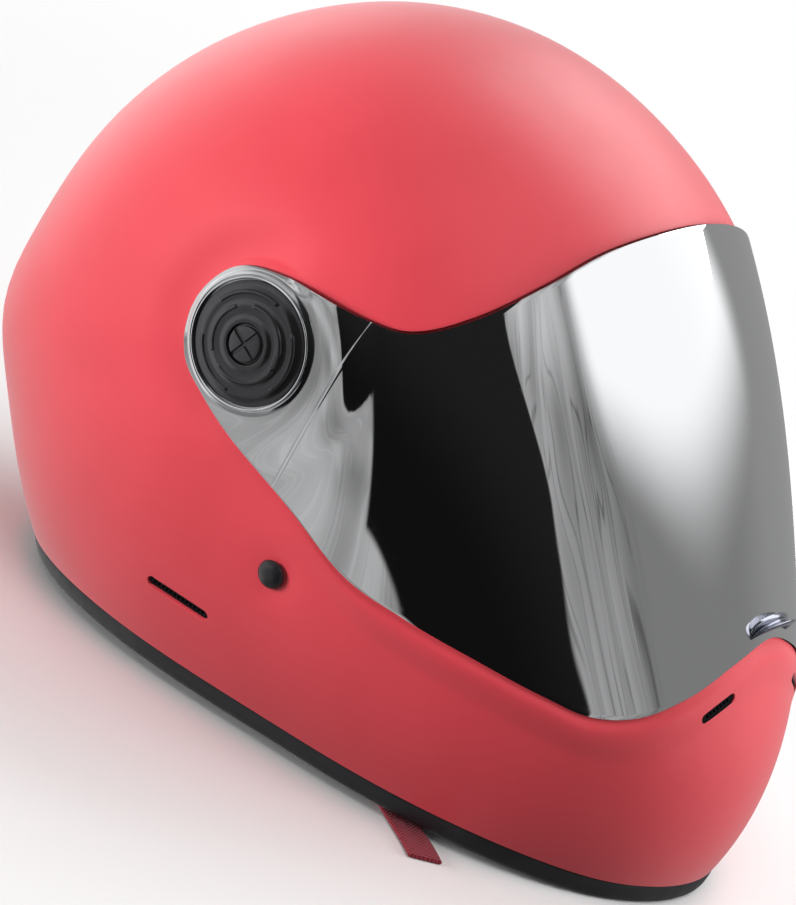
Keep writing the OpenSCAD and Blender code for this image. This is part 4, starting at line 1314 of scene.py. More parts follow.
@dataclass
class Lining:
    """The foam liners and the comfort cushions on them."""

    skin: Skin
    liner_wall: float = 24.0
    chin_wall: float = 20.0
    liner_depth: float = 4.0
    margin: float = 10.0
    pad_gap: float = 0.8
    nape_gap: float = 1.4
    edge_share: float = 0.3
    wall_rows: int = 13
    shares: tuple = (0, 0.3, 0.6, 0.85)
    # Rows past the visor's edge, and the distances at which the wall's first two rows lie
    edge_rows: tuple = (1.9, 2.8)
    near: float = 4.0
    far: float = 14.0

    def liner_spots(self, s: np.ndarray) -> np.ndarray:
        """Places of the liner's rows at stations, as the part has them."""
        skin = self.skin
        port, edge, length = skin.port(s), skin.edge(s), skin.wall_length(s)
        rows = [skin.spot(blend(port, edge, u)) for u in self.shares]
        rows += [skin.past(s, skin.edge_gap + d) for d in self.edge_rows]
        start, end = skin.wall_start(s), skin.spot(skin.rim(s))
        steps = np.arange(self.wall_rows + 1) / self.wall_rows
        shares = [self.near / length] + [blend(self.far / length, 1.0, step) for step in steps]
        rows += [blend(start, end, v[:, None]) for v in shares]
        return np.array(rows)

    def wall_at(self, s: np.ndarray) -> np.ndarray:
        """Thickness of the liner at stations."""
        return blend(self.liner_wall, self.chin_wall, smooth(17, 20, s))

    def short(self, rows: np.ndarray, s: np.ndarray) -> np.ndarray:
        """Stops the rows short of the shell's rim, on the straight lines between them."""
        last = len(rows) - 1
        end = last - self.margin * self.wall_rows / (self.skin.wall_length(s) - self.far)
        k = np.arange(len(rows))[:, None]
        q = np.where(k <= end, k, blend(end, k, 0.1))
        low, share = cell(q, last - 1)
        at = np.arange(len(s))[None, :]
        return blend(rows[low, at], rows[low + 1, at], share[..., None])

    def inner(self, s: np.ndarray, h: Any = 0.0) -> np.ndarray:
        """Rows of the liner's inner face at stations, with cushions' heights taken off."""
        depth = self.liner_depth + self.wall_at(s) + h
        return self.short(self.skin.at(self.liner_spots(s), -depth), s)

    def outer(self, s: np.ndarray) -> np.ndarray:
        """Rows of the liner's outer face at stations."""
        spots = self.liner_spots(s)
        rows = self.skin.at(spots, -self.liner_depth)
        seat = self.skin.at(spots[:5], -self.skin.seat_depth - self.liner_depth)
        flat = self.skin.half_w - self.skin.floor_sink - self.liner_depth
        seat[..., 0] = np.minimum(seat[..., 0], flat)
        rows[:5] = seat
        return self.short(rows, s)

    def foam(self, name: str, first: float, last: float) -> bpy.types.Object:
        """Builds a liner between two signed stations."""
        j = np.linspace(first, last, int(abs(last - first) * 6) + 1)
        top = self.skin.last
        j = np.where(j > top, j - 2 * top, j)
        s, sign = np.abs(j), np.where(j < 0, -1, 1)
        faces = (self.skin.world(self.finer(rows), sign) for rows in (self.outer(s), self.inner(s)))
        made = make_piece(name, *slab(*faces, False))
        return soften(made, 55, 2.5, 3)

    def finer(self, rows: np.ndarray) -> np.ndarray:
        """Puts two more rows between each pair."""
        last = len(rows) - 1
        i, share = cell(np.linspace(0, last, 3 * last + 1), last - 1)
        return blend(rows[i], rows[i + 1], share[:, None, None])

    def crown(self, a: np.ndarray, b: np.ndarray) -> np.ndarray:
        """Fullness of a cushion, drawn in round its edges."""
        full = (1 - (2 * a - 1) ** 4) * (1 - (2 * b - 1) ** 4)
        return blend(self.edge_share, 1, full)

    def on_lining(self, r: np.ndarray, c: np.ndarray, h: np.ndarray) -> np.ndarray:
        """Points over the impact liner's inner face, in metres.

        Args:
            r: liner rows.
            c: signed stations.
            h: heights over the face.

        Returns:
            The points.
        """
        station = np.abs(c)
        low = np.floor(station)
        made = []
        for s in (low, low + 1):
            rows = self.inner(s.ravel(), h.ravel())
            k, share = cell(r.ravel(), len(rows) - 2)
            at = np.arange(s.size)
            made.append(blend(rows[k, at], rows[k + 1, at], share[:, None]))
        p = blend(made[0], made[1], (station - low).ravel()[:, None])
        return self.skin.world(p, np.where(c.ravel() < 0, -1, 1)).reshape(*r.shape, 3)

    def on_wall(self, s: np.ndarray, v: np.ndarray, h: np.ndarray, sign: int) -> np.ndarray:
        """Points over the inner face of the liner's side, in metres."""
        skin = self.skin
        spot = blend(skin.wall_start(s), skin.spot(skin.rim(s)), v[..., None])
        depth = self.liner_depth + self.liner_wall + self.pad_gap + h
        return skin.world(skin.at(spot, -depth), sign)


def share_grid(rows: int, cols: int, shrink: float = 0.0) -> list[np.ndarray]:
    """Both shares at each point of a grid that is drawn in by a share at its edges."""
    ends = (shrink, 1 - shrink)
    return np.meshgrid(np.linspace(*ends, rows), np.linspace(*ends, cols), indexing="ij")


@dataclass
class Cushion:
    """One comfort cushion: a base on the liner, a swollen face and its sewn lines."""

    name: str
    node: str
    height: float
    at: Callable[[np.ndarray, np.ndarray, np.ndarray], np.ndarray]
    seams_across: tuple = ()
    seams_along: tuple = ()
    fill: float = 0.75
    knit: bool = False
    voxel: float = 0.0042
    # Share of the height that the closed form has before it swells
    flat_share: float = 0.92
    pressure: float = 4.0
    # Furthest that a point swells, and depth of a sewn line, in metres
    most: float = 0.0035
    seam_depth: float = 0.0026
    # Widths of the sewn lines, as shares of the grid
    across_width: float = 0.022
    along_width: float = 0.045
    piping_r: float = 0.0014
    lining: Optional[Lining] = None
    body: Optional[bpy.types.Object] = None
    rest: Optional[np.ndarray] = None

    def form(self, rows: int, cols: int, shrink: float) -> tuple[np.ndarray, np.ndarray]:
        """Base and face grids of the cushion, drawn in by a share at its edges."""
        a, b = share_grid(rows, cols, shrink)
        base = self.at(a, b, np.zeros_like(a))
        face = self.at(a, b, self.height * self.flat_share * self.lining.crown(a, b))
        return base, face

    def start(self) -> None:
        """Makes the closed form and gives it Cloth with pressure."""
        base, face = self.form(34, 60, 0.012)
        made = make_piece(self.name, *slab(base, face, False))
        add_modifier(made, "REMESH", mode="VOXEL", voxel_size=self.voxel, use_smooth_shade=True)
        add_modifier(made, "SMOOTH", factor=0.5, iterations=3)
        apply_modifiers(made)
        self.body = made
        self.rest = coordinates(made)
        cloth = made.modifiers.new("cloth", "CLOTH")
        settings = cloth.settings
        settings.use_pressure = True
        settings.uniform_pressure_force = self.pressure
        settings.effector_weights.gravity = 0.0
        settings.quality = 4
        settings.mass = 0.2
        settings.tension_stiffness = 12
        cloth.collision_settings.use_collision = False
        cloth.point_cache.frame_start = 1
        cloth.point_cache.frame_end = CLOTH_FRAMES

    def settle(self) -> None:
        """Keeps a capped part of the swelling, presses the sewn lines in and refines the mesh."""
        made, rest = self.body, self.rest
        moved = rest.copy()
        graph = bpy.context.evaluated_depsgraph_get()
        swollen = made.evaluated_get(graph).to_mesh()
        moved = np.array([v.co for v in swollen.vertices])
        made.modifiers.clear()
        high = self.lookup(rest)[2]
        way = moved - rest
        size = np.linalg.norm(way, axis=1, keepdims=True)
        way *= np.minimum(1, self.most / np.maximum(size, 1e-9))
        free = smooth(0.15, 0.7, high)[:, None]
        made.data.vertices.foreach_set("co", (rest + way * free).ravel())
        add_modifier(made, "SUBSURF", levels=1, render_levels=1)
        apply_modifiers(made)
        self.sew(made)
        for polygon in made.data.polygons:
            polygon.use_smooth = True

    def lookup(self, points: np.ndarray) -> tuple:
        """Grid shares, height share and outward direction of each point by its nearest place.

        Args:
            points: points in metres.

        Returns:
            The two shares, the height as a share of the cushion, and unit directions.
        """
        a, b = share_grid(41, 81)
        base = self.at(a, b, np.zeros_like(a)).reshape(-1, 3)
        face = self.at(a, b, np.full_like(a, self.height)).reshape(-1, 3)
        tree = KDTree(len(base))
        middle = (base + face) / 2
        for k, p in enumerate(middle):
            tree.insert(p, k)
        tree.balance()
        near = np.array([tree.find(p)[1] for p in points])
        out = face[near] - base[near]
        length = np.linalg.norm(out, axis=1, keepdims=True)
        out = out / length
        high = ((points - base[near]) * out).sum(1) / length[:, 0]
        return a.ravel()[near], b.ravel()[near], high, out

    def sew(self, made: bpy.types.Object) -> None:
        """Presses the sewn lines into the cushion's face."""
        points = coordinates(made)
        a, b, high, out = self.lookup(points)
        deep = np.zeros(len(points))
        for lines, share, width in ((self.seams_across, b, self.across_width),
                                    (self.seams_along, a, self.along_width)):
            for line in lines:
                deep = np.maximum(deep, np.exp(-(((share - line) / width) ** 2)))
        free = smooth(0.3, 0.8, high)
        points -= out * (deep * free * self.seam_depth)[:, None]
        made.data.vertices.foreach_set("co", points.ravel())
        made.data.update()

    def piping(self) -> bpy.types.Object:
        """Builds the bound edge that runs round the cushion."""
        t = np.linspace(0.02, 0.98, 60)
        low, high = np.full_like(t, 0.015), np.full_like(t, 0.985)
        a = np.concatenate([low, t, high, t[::-1]])
        b = np.concatenate([t, high, t[::-1], low])
        h = self.height * self.lining.edge_share * 0.55
        path = self.at(a, b, np.full_like(a, h))
        for _ in range(12):
            path = (np.roll(path, 1, 0) + 2 * path + np.roll(path, -1, 0)) / 4
        sections = sweep(path, self.piping_r, 8, True)
        return make_piece(f"{self.name}_binding", *tube_of(sections, True))


def coordinates(piece: bpy.types.Object) -> np.ndarray:
    """The piece's points as an array."""
    points = np.empty(len(piece.data.vertices) * 3)
    piece.data.vertices.foreach_get("co", points)
    return points.reshape(-1, 3)


def sweep(path: np.ndarray, radius: Any, count: int, closed: bool) -> np.ndarray:
    """Round sections along a path.

    Args:
        path: points in metres.
        radius: the radius, one number or one for each point.
        count: points a section.
        closed: whether the path is a loop.

    Returns:
        The sections for tube_of.
    """
    if closed:
        way = np.roll(path, -1, axis=0) - np.roll(path, 1, axis=0)
    else:
        way = np.gradient(path, axis=0)
    way = unit(way)
    side = np.cross(way[0], [0.31, 0.2, 0.93])
    sides = []
    for w in way:
        side = unit(side - (side @ w) * w)
        sides.append(side)
    sides = np.array(sides)
    ups = np.cross(way, sides)
    turn = around(count)
    radius = np.broadcast_to(np.asarray(radius, float), (len(path),))
    ring = np.cos(turn)[None, :, None] * sides[:, None] + np.sin(turn)[None, :, None] * ups[:, None]
    return path[:, None] + radius[:, None, None] * ring


# ---------------------------------------------------------------- straps and metal


@dataclass
class Harness:
    """The chin strap: webbing, rings, rivets, anchors, snap and pull tab."""

    skin: Skin
    strap_w: float = 20.0
    strap_t: float = 1.8
    wire_r: float = 1.6
    ring_turn: float = -18.0
    ring_low: float = 6.2
    ring_tilt: float = 13.0
    ring_arm: float = 5.5
    pull_w: float = 12.7
    pull_t: float = 1.4
    # Gaps between the two rings, round their bars in the loop, under webbing that lies, before
    # the anchor and behind it, and the anchor's thickness
    ring_gap: float = 0.3
    loop_gap: float = 0.6
    lie_gap: float = 0.4
    anchor_gap: float = 0.8
    behind_gap: float = 1.9
    anchor_t: float = 1.6
    starts: tuple = ((0, 0), (8, 15), (16, 30))
    pull_places: tuple = ((-2, -4), (-11.5, -14.5), (-20.5, -25.5), (-27.5, -34), (-33.5, -40.5))
    pull_across: tuple = (0.76, -0.65, 0)
    corner_r: float = 1.2
    ring_play: float = 1.3
    rivet_profile: tuple = (
        (0.01, 3.25), (1.2, 3.17), (2.4, 2.92), (3.4, 2.52), (4.2, 1.98), (4.75, 1.4),
        (5.05, 0.95), (5.2, 0.6), (5.2, 0.35), (5.0, 0.2), (2.5, 0.2), (2.5, -6.4),
        (3.5, -6.4), (3.7, -6.6), (3.7, -7.4), (3.4, -7.6), (0.01, -7.6),
    )
    snap_profile: tuple = (
        (0.01, 0), (4.8, 0), (5, 0.2), (4.9, 0.6), (4.5, 0.8), (3.5, 0.75), (2.7, 0.62),
        (2.35, 0.9), (2.3, 1.3), (2.6, 1.7), (2.45, 2.05), (2.0, 2.2), (1.1, 2.12), (0.9, 1.9),
        (0.01, 1.86),
    )
    gate: tuple = field(init=False)
    ring_at: tuple = field(init=False)

    def __post_init__(self) -> None:
        """Finds the rim's point between the liners, from which the straps' ways are set."""
        p = self.skin.rim(np.array([12.25]))[0]
        self.gate = (p[0], self.skin.hinge_y - p[1])
        self.ring_at = self.by_gate(28.6, -23.1, 0, -1)[:2]

    def by_gate(self, inward: float, back: float, z: float, sign: int) -> tuple:
        """A point inward from the rim's point and back from it, at a height."""
        return (sign * (self.gate[0] - inward), self.gate[1] + back, z)

    @property
    def lie_z(self) -> float:
        """Height of the middle of webbing that lies on the floor."""
        return self.strap_t / 2 + self.lie_gap

    def off_ring(self, x: float, y: float, z: float) -> tuple:
        """A point set off from the rings."""
        return (self.ring_at[0] + x, self.ring_at[1] + y, z)

    @property
    def ring_high(self) -> float:
        """Height of the upper ring's bar."""
        apart = 2 * self.wire_r + self.ring_gap
        return self.ring_low + apart / math.cos(math.radians(self.ring_tilt))

    @property
    def loop_r(self) -> float:
        """Radius of the strap's loop round the rings' bars."""
        return self.wire_r + self.strap_t / 2 + self.loop_gap

    def by_ring(self, d: float, z: float) -> tuple:
        """A point by the rings: the distance along their own X axis and the height."""
        turn = math.radians(self.ring_turn)
        return (self.ring_at[0] + d * math.cos(turn), self.ring_at[1] + d * math.sin(turn), z)

    def start(self, sign: int) -> list:
        """The strap's first points, behind its anchor."""
        skin, made = self.skin, []
        off = -skin.wall - self.anchor_gap - self.anchor_t - self.behind_gap - self.strap_t / 2
        for ahead, down in self.starts:
            p = np.add(skin.rivet_at, (0.0, ahead + 2, -down))
            made.append(tuple(skin.world(skin.at(skin.spot(p), off), sign) / MM))
        return made

    def ribbon(self, name: str, run: Sequence, sides: Sequence, width: float, thick: float,
               count: int) -> bpy.types.Object:
        """Builds a woven ribbon with rolled edges and the weave's own coordinates.

        Args:
            name: the piece's name.
            run: points of its middle line, in millimetres.
            sides: directions across it at those points.
            width: its width.
            thick: its thickness.
            count: how many steps along it.

        Returns:
            The ribbon.
        """
        p, s = smooth_run(run, count), smooth_run(sides, count)
        way = unit(np.concatenate([p[1:2] - p[:1], p[2:] - p[:-2], p[-1:] - p[-2:-1]]))
        across = unit(s - (s * way).sum(1, keepdims=True) * way)
        up = np.cross(way, across)
        half, t = width / 2, thick / 2
        lanes = np.linspace(-1, 1, 15)
        top = [(e * (half - 0.35), t * (0.93 + 0.07 * math.cos(7 * math.pi * e))) for e in lanes]
        section = [(-half, 0.45 * t)] + top + [(half, 0.45 * t), (half, -0.45 * t)]
        section += [(e, -h) for e, h in top[::-1]] + [(-half, -0.45 * t)]
        e, h = np.array(section).T
        sections = p[:, None] + e[None, :, None] * across[:, None] + h[None, :, None] * up[:, None]
        length = np.concatenate([[0], np.cumsum(np.linalg.norm(np.diff(p, axis=0), axis=1))])
        weave = np.stack(np.broadcast_arrays(length[:, None], e[None, :]), -1).reshape(-1, 2)
        return make_piece(name, *tube_of(sections * MM, False), crisp=60, weave=weave)

    def strap(self, side: Side) -> bpy.types.Object:
        """Builds one side's strap: the right one loops round the rings, the left one lies."""
        low, high, bend = self.ring_low, self.ring_high, self.loop_r
        turn = math.radians(self.ring_turn)
        across = (-math.sin(turn), math.cos(turn), 0)
        if side is Side.RIGHT:
            run = [self.by_gate(7.1, -5.1, 22.5, -1), self.by_gate(13.6, -15.1, 16.5, -1),
                   self.by_ring(-5, high + bend + 0.6), self.by_ring(0, high + bend),
                   self.by_ring(bend, high), self.by_ring(bend, low),
                   self.by_ring(0, low - bend), self.by_ring(-4, low - bend + 0.8),
                   self.by_ring(-7.5, low - 0.4)]
            sides = [(0, 1, 0), (0.05, 1, 0), (0.1, 1, 0), (0.2, 1, 0)] + [across] * 8
            steps = 176
        else:
            flat = self.lie_z
            run = [self.by_gate(9.5, -2.1, 21, 1), self.by_gate(19.5, -9.1, 9.2, 1),
                   self.by_gate(36, -14.1, 2.7, 1), self.by_gate(56, -18.1, flat, 1),
                   (12, self.ring_at[1] + 3, flat), self.off_ring(53.5, 2, flat),
                   self.off_ring(35.5, -1, flat)]
            sides = [(0, 1, 0), (-0.05, 1, 0), (-0.1, 1, 0), (-0.2, 1, 0), (-0.1, 1, 0)]
            sides += [(0, 1, 0)] + [(0.1, 1, 0)] * 4
            steps = 216
        return self.ribbon(f"strap_{side.word}_webbing", self.start(side.value) + run, sides,
                           self.strap_w, self.strap_t, steps)

    def pull(self) -> bpy.types.Object:
        """Builds the red pull tab."""
        low = self.pull_t / 2 + self.lie_gap
        run = [self.off_ring(x, y, low) for x, y in self.pull_places]
        sides = [self.pull_across] * len(run)
        return self.ribbon("pull_tab_webbing", run, sides, self.pull_w, self.pull_t, 60)

    def ring(self, name: str, z: float) -> bpy.types.Object:
        """Builds one D-shaped ring of round wire."""
        c, r = self.corner_r, self.strap_w / 2 + self.wire_r + self.ring_play
        turn = np.radians(np.linspace(-90, 90, 49))
        arc = np.stack([self.ring_arm + r * np.cos(turn), r * np.sin(turn), 0 * turn], -1)
        arm = np.linspace(self.ring_arm, c, 6)[1:]
        bend = np.radians(np.linspace(15, 75, 4))
        corner = np.stack([c - c * np.sin(bend), r - c + c * np.cos(bend), 0 * bend], -1)
        y = np.linspace(r - c, c - r, 24)
        bar = np.stack([0 * y, y, 0 * y], -1)
        upper = np.stack([arm, 0 * arm + r, 0 * arm], -1)
        lower = np.stack([arm[::-1], 0 * arm - r, 0 * arm], -1)
        low_corner = corner[::-1] * [1, -1, 1]
        path = np.concatenate([arc, upper, corner, bar, low_corner, lower])
        matrix = (
            Matrix.Translation(Vector((self.ring_at[0], self.ring_at[1], z)) * MM)
            @ Matrix.Rotation(math.radians(self.ring_turn), 4, "Z")
            @ Matrix.Rotation(math.radians(self.ring_tilt), 4, "Y")
        )
        wire = sweep(placed(path, matrix), self.wire_r * MM, 20, True)
        return make_piece(name, *tube_of(wire, True))

    def rivet(self, side: Side) -> bpy.types.Object:
        """Builds the rivet's domed cap with its rolled rim, its shank and its tail."""
        matrix = self.skin.frame_at(self.skin.rivet_at, side.value)
        sections = placed(revolve(self.rivet_profile, 72), matrix)
        return make_piece(f"strap_rivet_{side.word}_cap", *tube_of(sections, True), crisp=50)

    def snap(self) -> bpy.types.Object:
        """Builds the press stud on the left strap."""
        high = self.lie_z + self.strap_t / 2 + 0.1
        place = Matrix.Translation(Vector(self.off_ring(49.5, 1.6, high)) * MM)
        sections = placed(revolve(self.snap_profile, 64), place)
        return make_piece("strap_snap_stud", *tube_of(sections, True))


# ---------------------------------------------------------------- the studio


@dataclass(frozen=True)
class Lamp:
    """A square soft lamp: its bearing and height in degrees, width in metres and power in watts.

    Glossy surfaces show it only if it is mirrored.
    """

    name: str
    bearing: float
    height: float
    width: float
    power: float
    mirrored: bool = False


@dataclass
class Studio:
    """Camera, floor, the room that mirrors see, world and lamps."""

    aim: tuple = (0.0, 0.020, 0.135)
    back: tuple = (-0.8775, -0.3982, 0.2672)
    right: tuple = (0.4756, -0.794, 0.3787)
    up: tuple = (0.0614, 0.4594, 0.8861)
    distance: float = 1.5
    focal: float = 4170.0
    frame: tuple = (796, 905)
    centre: tuple = (421.5, 321.0)
    sensor: float = 36.0
    floor_r: float = 3.0
    dome_r: float = 9.0
    glow: float = 0.2
    lamp_distance: float = 2.0
    lit: tuple = (0, 0, 0.13)
    lamps: tuple = (
        Lamp("lamp_top", -115, 64, 1.6, 1),
        Lamp("lamp_side", -128, 2, 1.0, 44),
        Lamp("lamp_front", -50, 58, 1.6, 17),
        Lamp("lamp_chin", 34, 8, 1.4, 42),
        Lamp("lamp_right", 88, 46, 1.5, 18, True),
        Lamp("lamp_back", 156, 12, 1.6, 6, True),
    )

    def build(self) -> None:
        """Sets up all but the camera."""
        self.floor()
        self.dome()
        self.world()
        for lamp in self.lamps:
            self.light(lamp)

    def camera(self) -> None:
        """Puts the camera at the photograph's viewing angle."""
        data = bpy.data.cameras.new("camera")
        data.sensor_width = self.sensor
        data.lens = self.focal * self.sensor / max(self.frame)
        data.clip_start = 0.05
        data.clip_end = 50.0
        made = link("camera", data)
        back, right, up = (Vector(v).normalized() for v in (self.back, self.right, self.up))
        eye = Vector(self.aim) + self.distance * back
        dx = self.frame[0] / 2 - self.centre[0]
        dy = self.frame[1] / 2 - self.centre[1]
        axis = (-back * self.focal + right * dx - up * dy).normalized()
        side = axis.cross(up).normalized()
        top = side.cross(axis).normalized()
        rows = Matrix((side, top, -axis)).transposed().to_4x4()
        rows.translation = eye
        made.matrix_world = rows
        bpy.context.scene.camera = made

    def staged(self, name: str, shape: Callable, **settings: Any) -> bpy.types.Object:
        """Makes a plain mesh for the studio, on no body of the helmet."""
        bm = bmesh.new()
        shape(bm, **settings)
        mesh = bpy.data.meshes.new(name)
        bm.to_mesh(mesh)
        bm.free()
        made = link(name, mesh)
        return made

    def floor(self) -> None:
        """Lays the floor: pale to the camera, darker to the object, and fading out far off."""
        made = self.staged("studio_floor", bmesh.ops.create_circle, cap_ends=True, segments=96,
                           radius=self.floor_r)
        g = Graph("floor_pale")
        x, y, _ = g.split(g.place())
        far = (x * x + y * y).apply("SQRT")
        seen = g.node("ShaderNodeLightPath", out="Is Camera Ray")
        g.set(Base_Color=g.mix(seen, (0.12, 0.12, 0.12), (0.93, 0.93, 0.93)), Roughness=0.7,
              Alpha=far.step(1.1, 0.45) * (1 - g.node("ShaderNodeNewGeometry", out="Backfacing")))
        made.data.materials.append(g.material)
        made.visible_glossy = False

    def dome(self) -> None:
        """Hangs the room that mirrors see: dark and pale cards, a soft white one, and folds."""
        made = self.staged("studio_dome", bmesh.ops.create_icosphere, subdivisions=5,
                           radius=self.dome_r)
        g = Graph("dome_glow")
        x, y, z = g.split(g.place())
        flat = (x * x + y * y).apply("SQRT")
        az = x.apply("ARCTAN2", y * -1.0) * (180 / math.pi)
        el = z.apply("ARCTAN2", flat) * (180 / math.pi)

        def folds(wide: float, tall: float, shift: Any = 0.0) -> Sock:
            """Noise drawn out upwards, in degrees."""
            where = g.node("ShaderNodeCombineXYZ", None, {0: az / wide + shift, 1: el / tall})
            return g.noise(1.0, 1.0, where)

        soft = folds(7.0, 26.0)
        thin = folds(2.6, 24.0, soft * 4.0)
        crest = (thin - 0.5).apply("ABSOLUTE").step(0.03, 0.0)
        # Crumpled greys to the wearer's right, an even one with a white card to the left
        band = 0.41 - az.step(-22, -4) * 0.16 + el.step(30, 42) * 0.2
        band = band + (soft - 0.5) * 0.5 - crest * 0.16 + (thin - 0.5) * 0.25
        left = 0.40 + (folds(9.0, 9.0, thin * 0.6) - 0.5) * 0.7 + crest * 0.07
        white = (el + az * 0.2).step(26.0, 38.0) * az.step(77, 66)
        right = 0.25 + az.step(45, 72) * 0.08 + white * 1.05
        # The black side, which ends along a bent edge
        edge = -24.0 - el.step(20, 40) * 19.0 - el.step(16, 8) * 2.0
        dark = az.step(-93.0, -92.0) * (az - edge).step(0.6, -0.6)
        dark = dark * (1 - el.step(-19.3, -20.2) * az.step(-79, -82))
        deep = 0.001 + el.step(-8, 26) * 0.010
        value = left + (band - left) * az.step(-60, -59)
        value = value + (right - value) * az.step(-7, 3)
        value = value + (deep - value) * dark
        # Pale walls behind, which only the open visor shows, and dimmer top and bottom
        away = az.step(104, 128) + az.step(-126, -142)
        away = away.apply("MAXIMUM", az.step(-98, -106) * el.step(7, 20))
        value = value + (0.84 - el.step(16, 42) * 0.56 - value) * away
        value = value + (0.16 - value) * el.step(50, 62)
        value = value + (0.22 - value) * el.step(-48, -62)
        g.set(Base_Color=(0.0, 0.0, 0.0), Roughness=1.0, Emission_Strength=1.0,
              Emission_Color=value.apply("MAXIMUM", 0.0005))
        made.data.materials.append(g.material)
        for ray in ("camera", "diffuse", "shadow", "transmission"):
            setattr(made, f"visible_{ray}", False)

    def world(self) -> None:
        """Lights the room softly and shows white behind the object."""
        world = bpy.data.worlds.new("studio")
        bpy.context.scene.world = world
        world.use_nodes = True
        tree = world.node_tree
        ground, seen = tree.nodes["Background"], tree.nodes.new("ShaderNodeBackground")
        for node, strength in ((ground, self.glow), (seen, 1.0)):
            node.inputs[0].default_value = (1.0, 1.0, 1.0, 1.0)
            node.inputs[1].default_value = strength
        path = tree.nodes.new("ShaderNodeLightPath")
        pick = tree.nodes.new("ShaderNodeMixShader")
        shown = (path.outputs["Is Camera Ray"], ground.outputs[0], seen.outputs[0])
        for output, target in zip(shown, pick.inputs):
            tree.links.new(output, target)
        tree.links.new(pick.outputs[0], tree.nodes["World Output"].inputs[0])

    def light(self, lamp: Lamp) -> None:
        """Adds one lamp, which faces the helmet's middle."""
        data = bpy.data.lights.new(lamp.name, "AREA")
        data.shape = "RECTANGLE"
        data.size = data.size_y = lamp.width
        data.energy = lamp.power
        made = link(lamp.name, data)
        a, e = math.radians(lamp.bearing), math.radians(lamp.height)
        way = Vector((math.sin(a) * math.cos(e), -math.cos(a) * math.cos(e), math.sin(e)))
        made.location = Vector(self.lit) + self.lamp_distance * way
        made.visible_glossy = lamp.mirrored
        made.rotation_euler = (Vector(self.lit) - made.location).to_track_quat("-Z", "Y").to_euler()


# ---------------------------------------------------------------- the dressed helmet


FINISHES = {
    "red_shell": SatinLacquer(),
    "mirror_visor": MirrorCoat(),
    "chrome_trim": Chrome(),
    "black_plastic": MouldedBlack(),
    "cover_plastic": BlackPlate(),
    "lock_plate": BlackPlate((0.10, 0.10, 0.105), roughness=0.36, grain=900.0, depth=0.00012),
    "black_rubber": Rubber(),
    "liner_foam": BeadFoam(),
    "pad_cloth": BrushedCloth(),
    "pad_knit": MeshKnit(),
    "webbing": Webbing(),
    "red_webbing": Webbing((0.12, 0.004, 0.012), (0.42, 0.025, 0.05), 1.5, herringbone=True),
    "bright_steel": Steel(),
    "black_metal": MouldedBlack((0.016, 0.016, 0.018), roughness=0.3, depth=0.00001),
    "vent_mesh": MouldedBlack((0.004, 0.004, 0.005), roughness=0.6, shine=0.12),
    "bare_laminate": MouldedBlack((0.014, 0.014, 0.015), roughness=0.6, grain=700.0),
    "tab_chrome": Chrome((0.30, 0.31, 0.37), roughness=0.12),
}
# Solids of the part, one on each side, that show as they are with a finish on them
CARRIED = (
    ("vent_mesh", ("chin_vent_mesh", "side_vent_mesh")),
    ("black_plastic", ("pivot_base",)),
    ("bright_steel", ("base_screws", "detent_spring", "strap_anchor")),
)
Looks = dict[str, bpy.types.Material]


def dress_hard(skin: Skin, harness: Harness, looks: Looks) -> None:
    """Builds and dresses the shell, visor, pivots, rivets, straps, rubbers and liners."""
    shell = Shell(skin)
    painted = shell.build()
    dress(painted, looks["red_shell"], "helmet", ["outer_shell"])
    shell.line(painted, looks["bare_laminate"])
    visor = Visor(skin)
    dress(visor.build(), looks["mirror_visor"], "visor", ["visor"])
    dress(visor.tab(), looks["tab_chrome"], "visor", ["lift_tab"])
    for side in Side:
        pivot, word = Pivot(skin, side), side.word
        for made, look, body, slot, node in (
            (visor.ring(side), "chrome_trim", "visor", "chrome_trim", "pivot_ring"),
            (pivot.cover(), "cover_plastic", "helmet", "black_plastic", "pivot_cover"),
            (pivot.lock(), "lock_plate", f"lock_{word}", "black_plastic", "pivot_lock"),
            (harness.rivet(side), "black_metal", "helmet", "black_metal", "strap_rivet"),
            (harness.strap(side), "webbing", "helmet", "webbing", "chin_strap"),
        ):
            dress(made, looks[look], body, [f"{node}_{word}"])
    rubbers, lining = Rubbers(skin), Lining(skin)
    for made, look, node in (
        (rubbers.trim(), "black_rubber", "rim_trim"),
        (rubbers.seal(), "black_rubber", "port_seal"),
        (rubbers.guard(), "black_rubber", "breath_guard"),
        (lining.foam("impact_liner_foam", -11, 11), "liner_foam", "impact_liner"),
        (lining.foam("chin_liner_foam", 14, 30), "liner_foam", "chin_liner"),
    ):
        dress(made, looks[look], "helmet", [node])


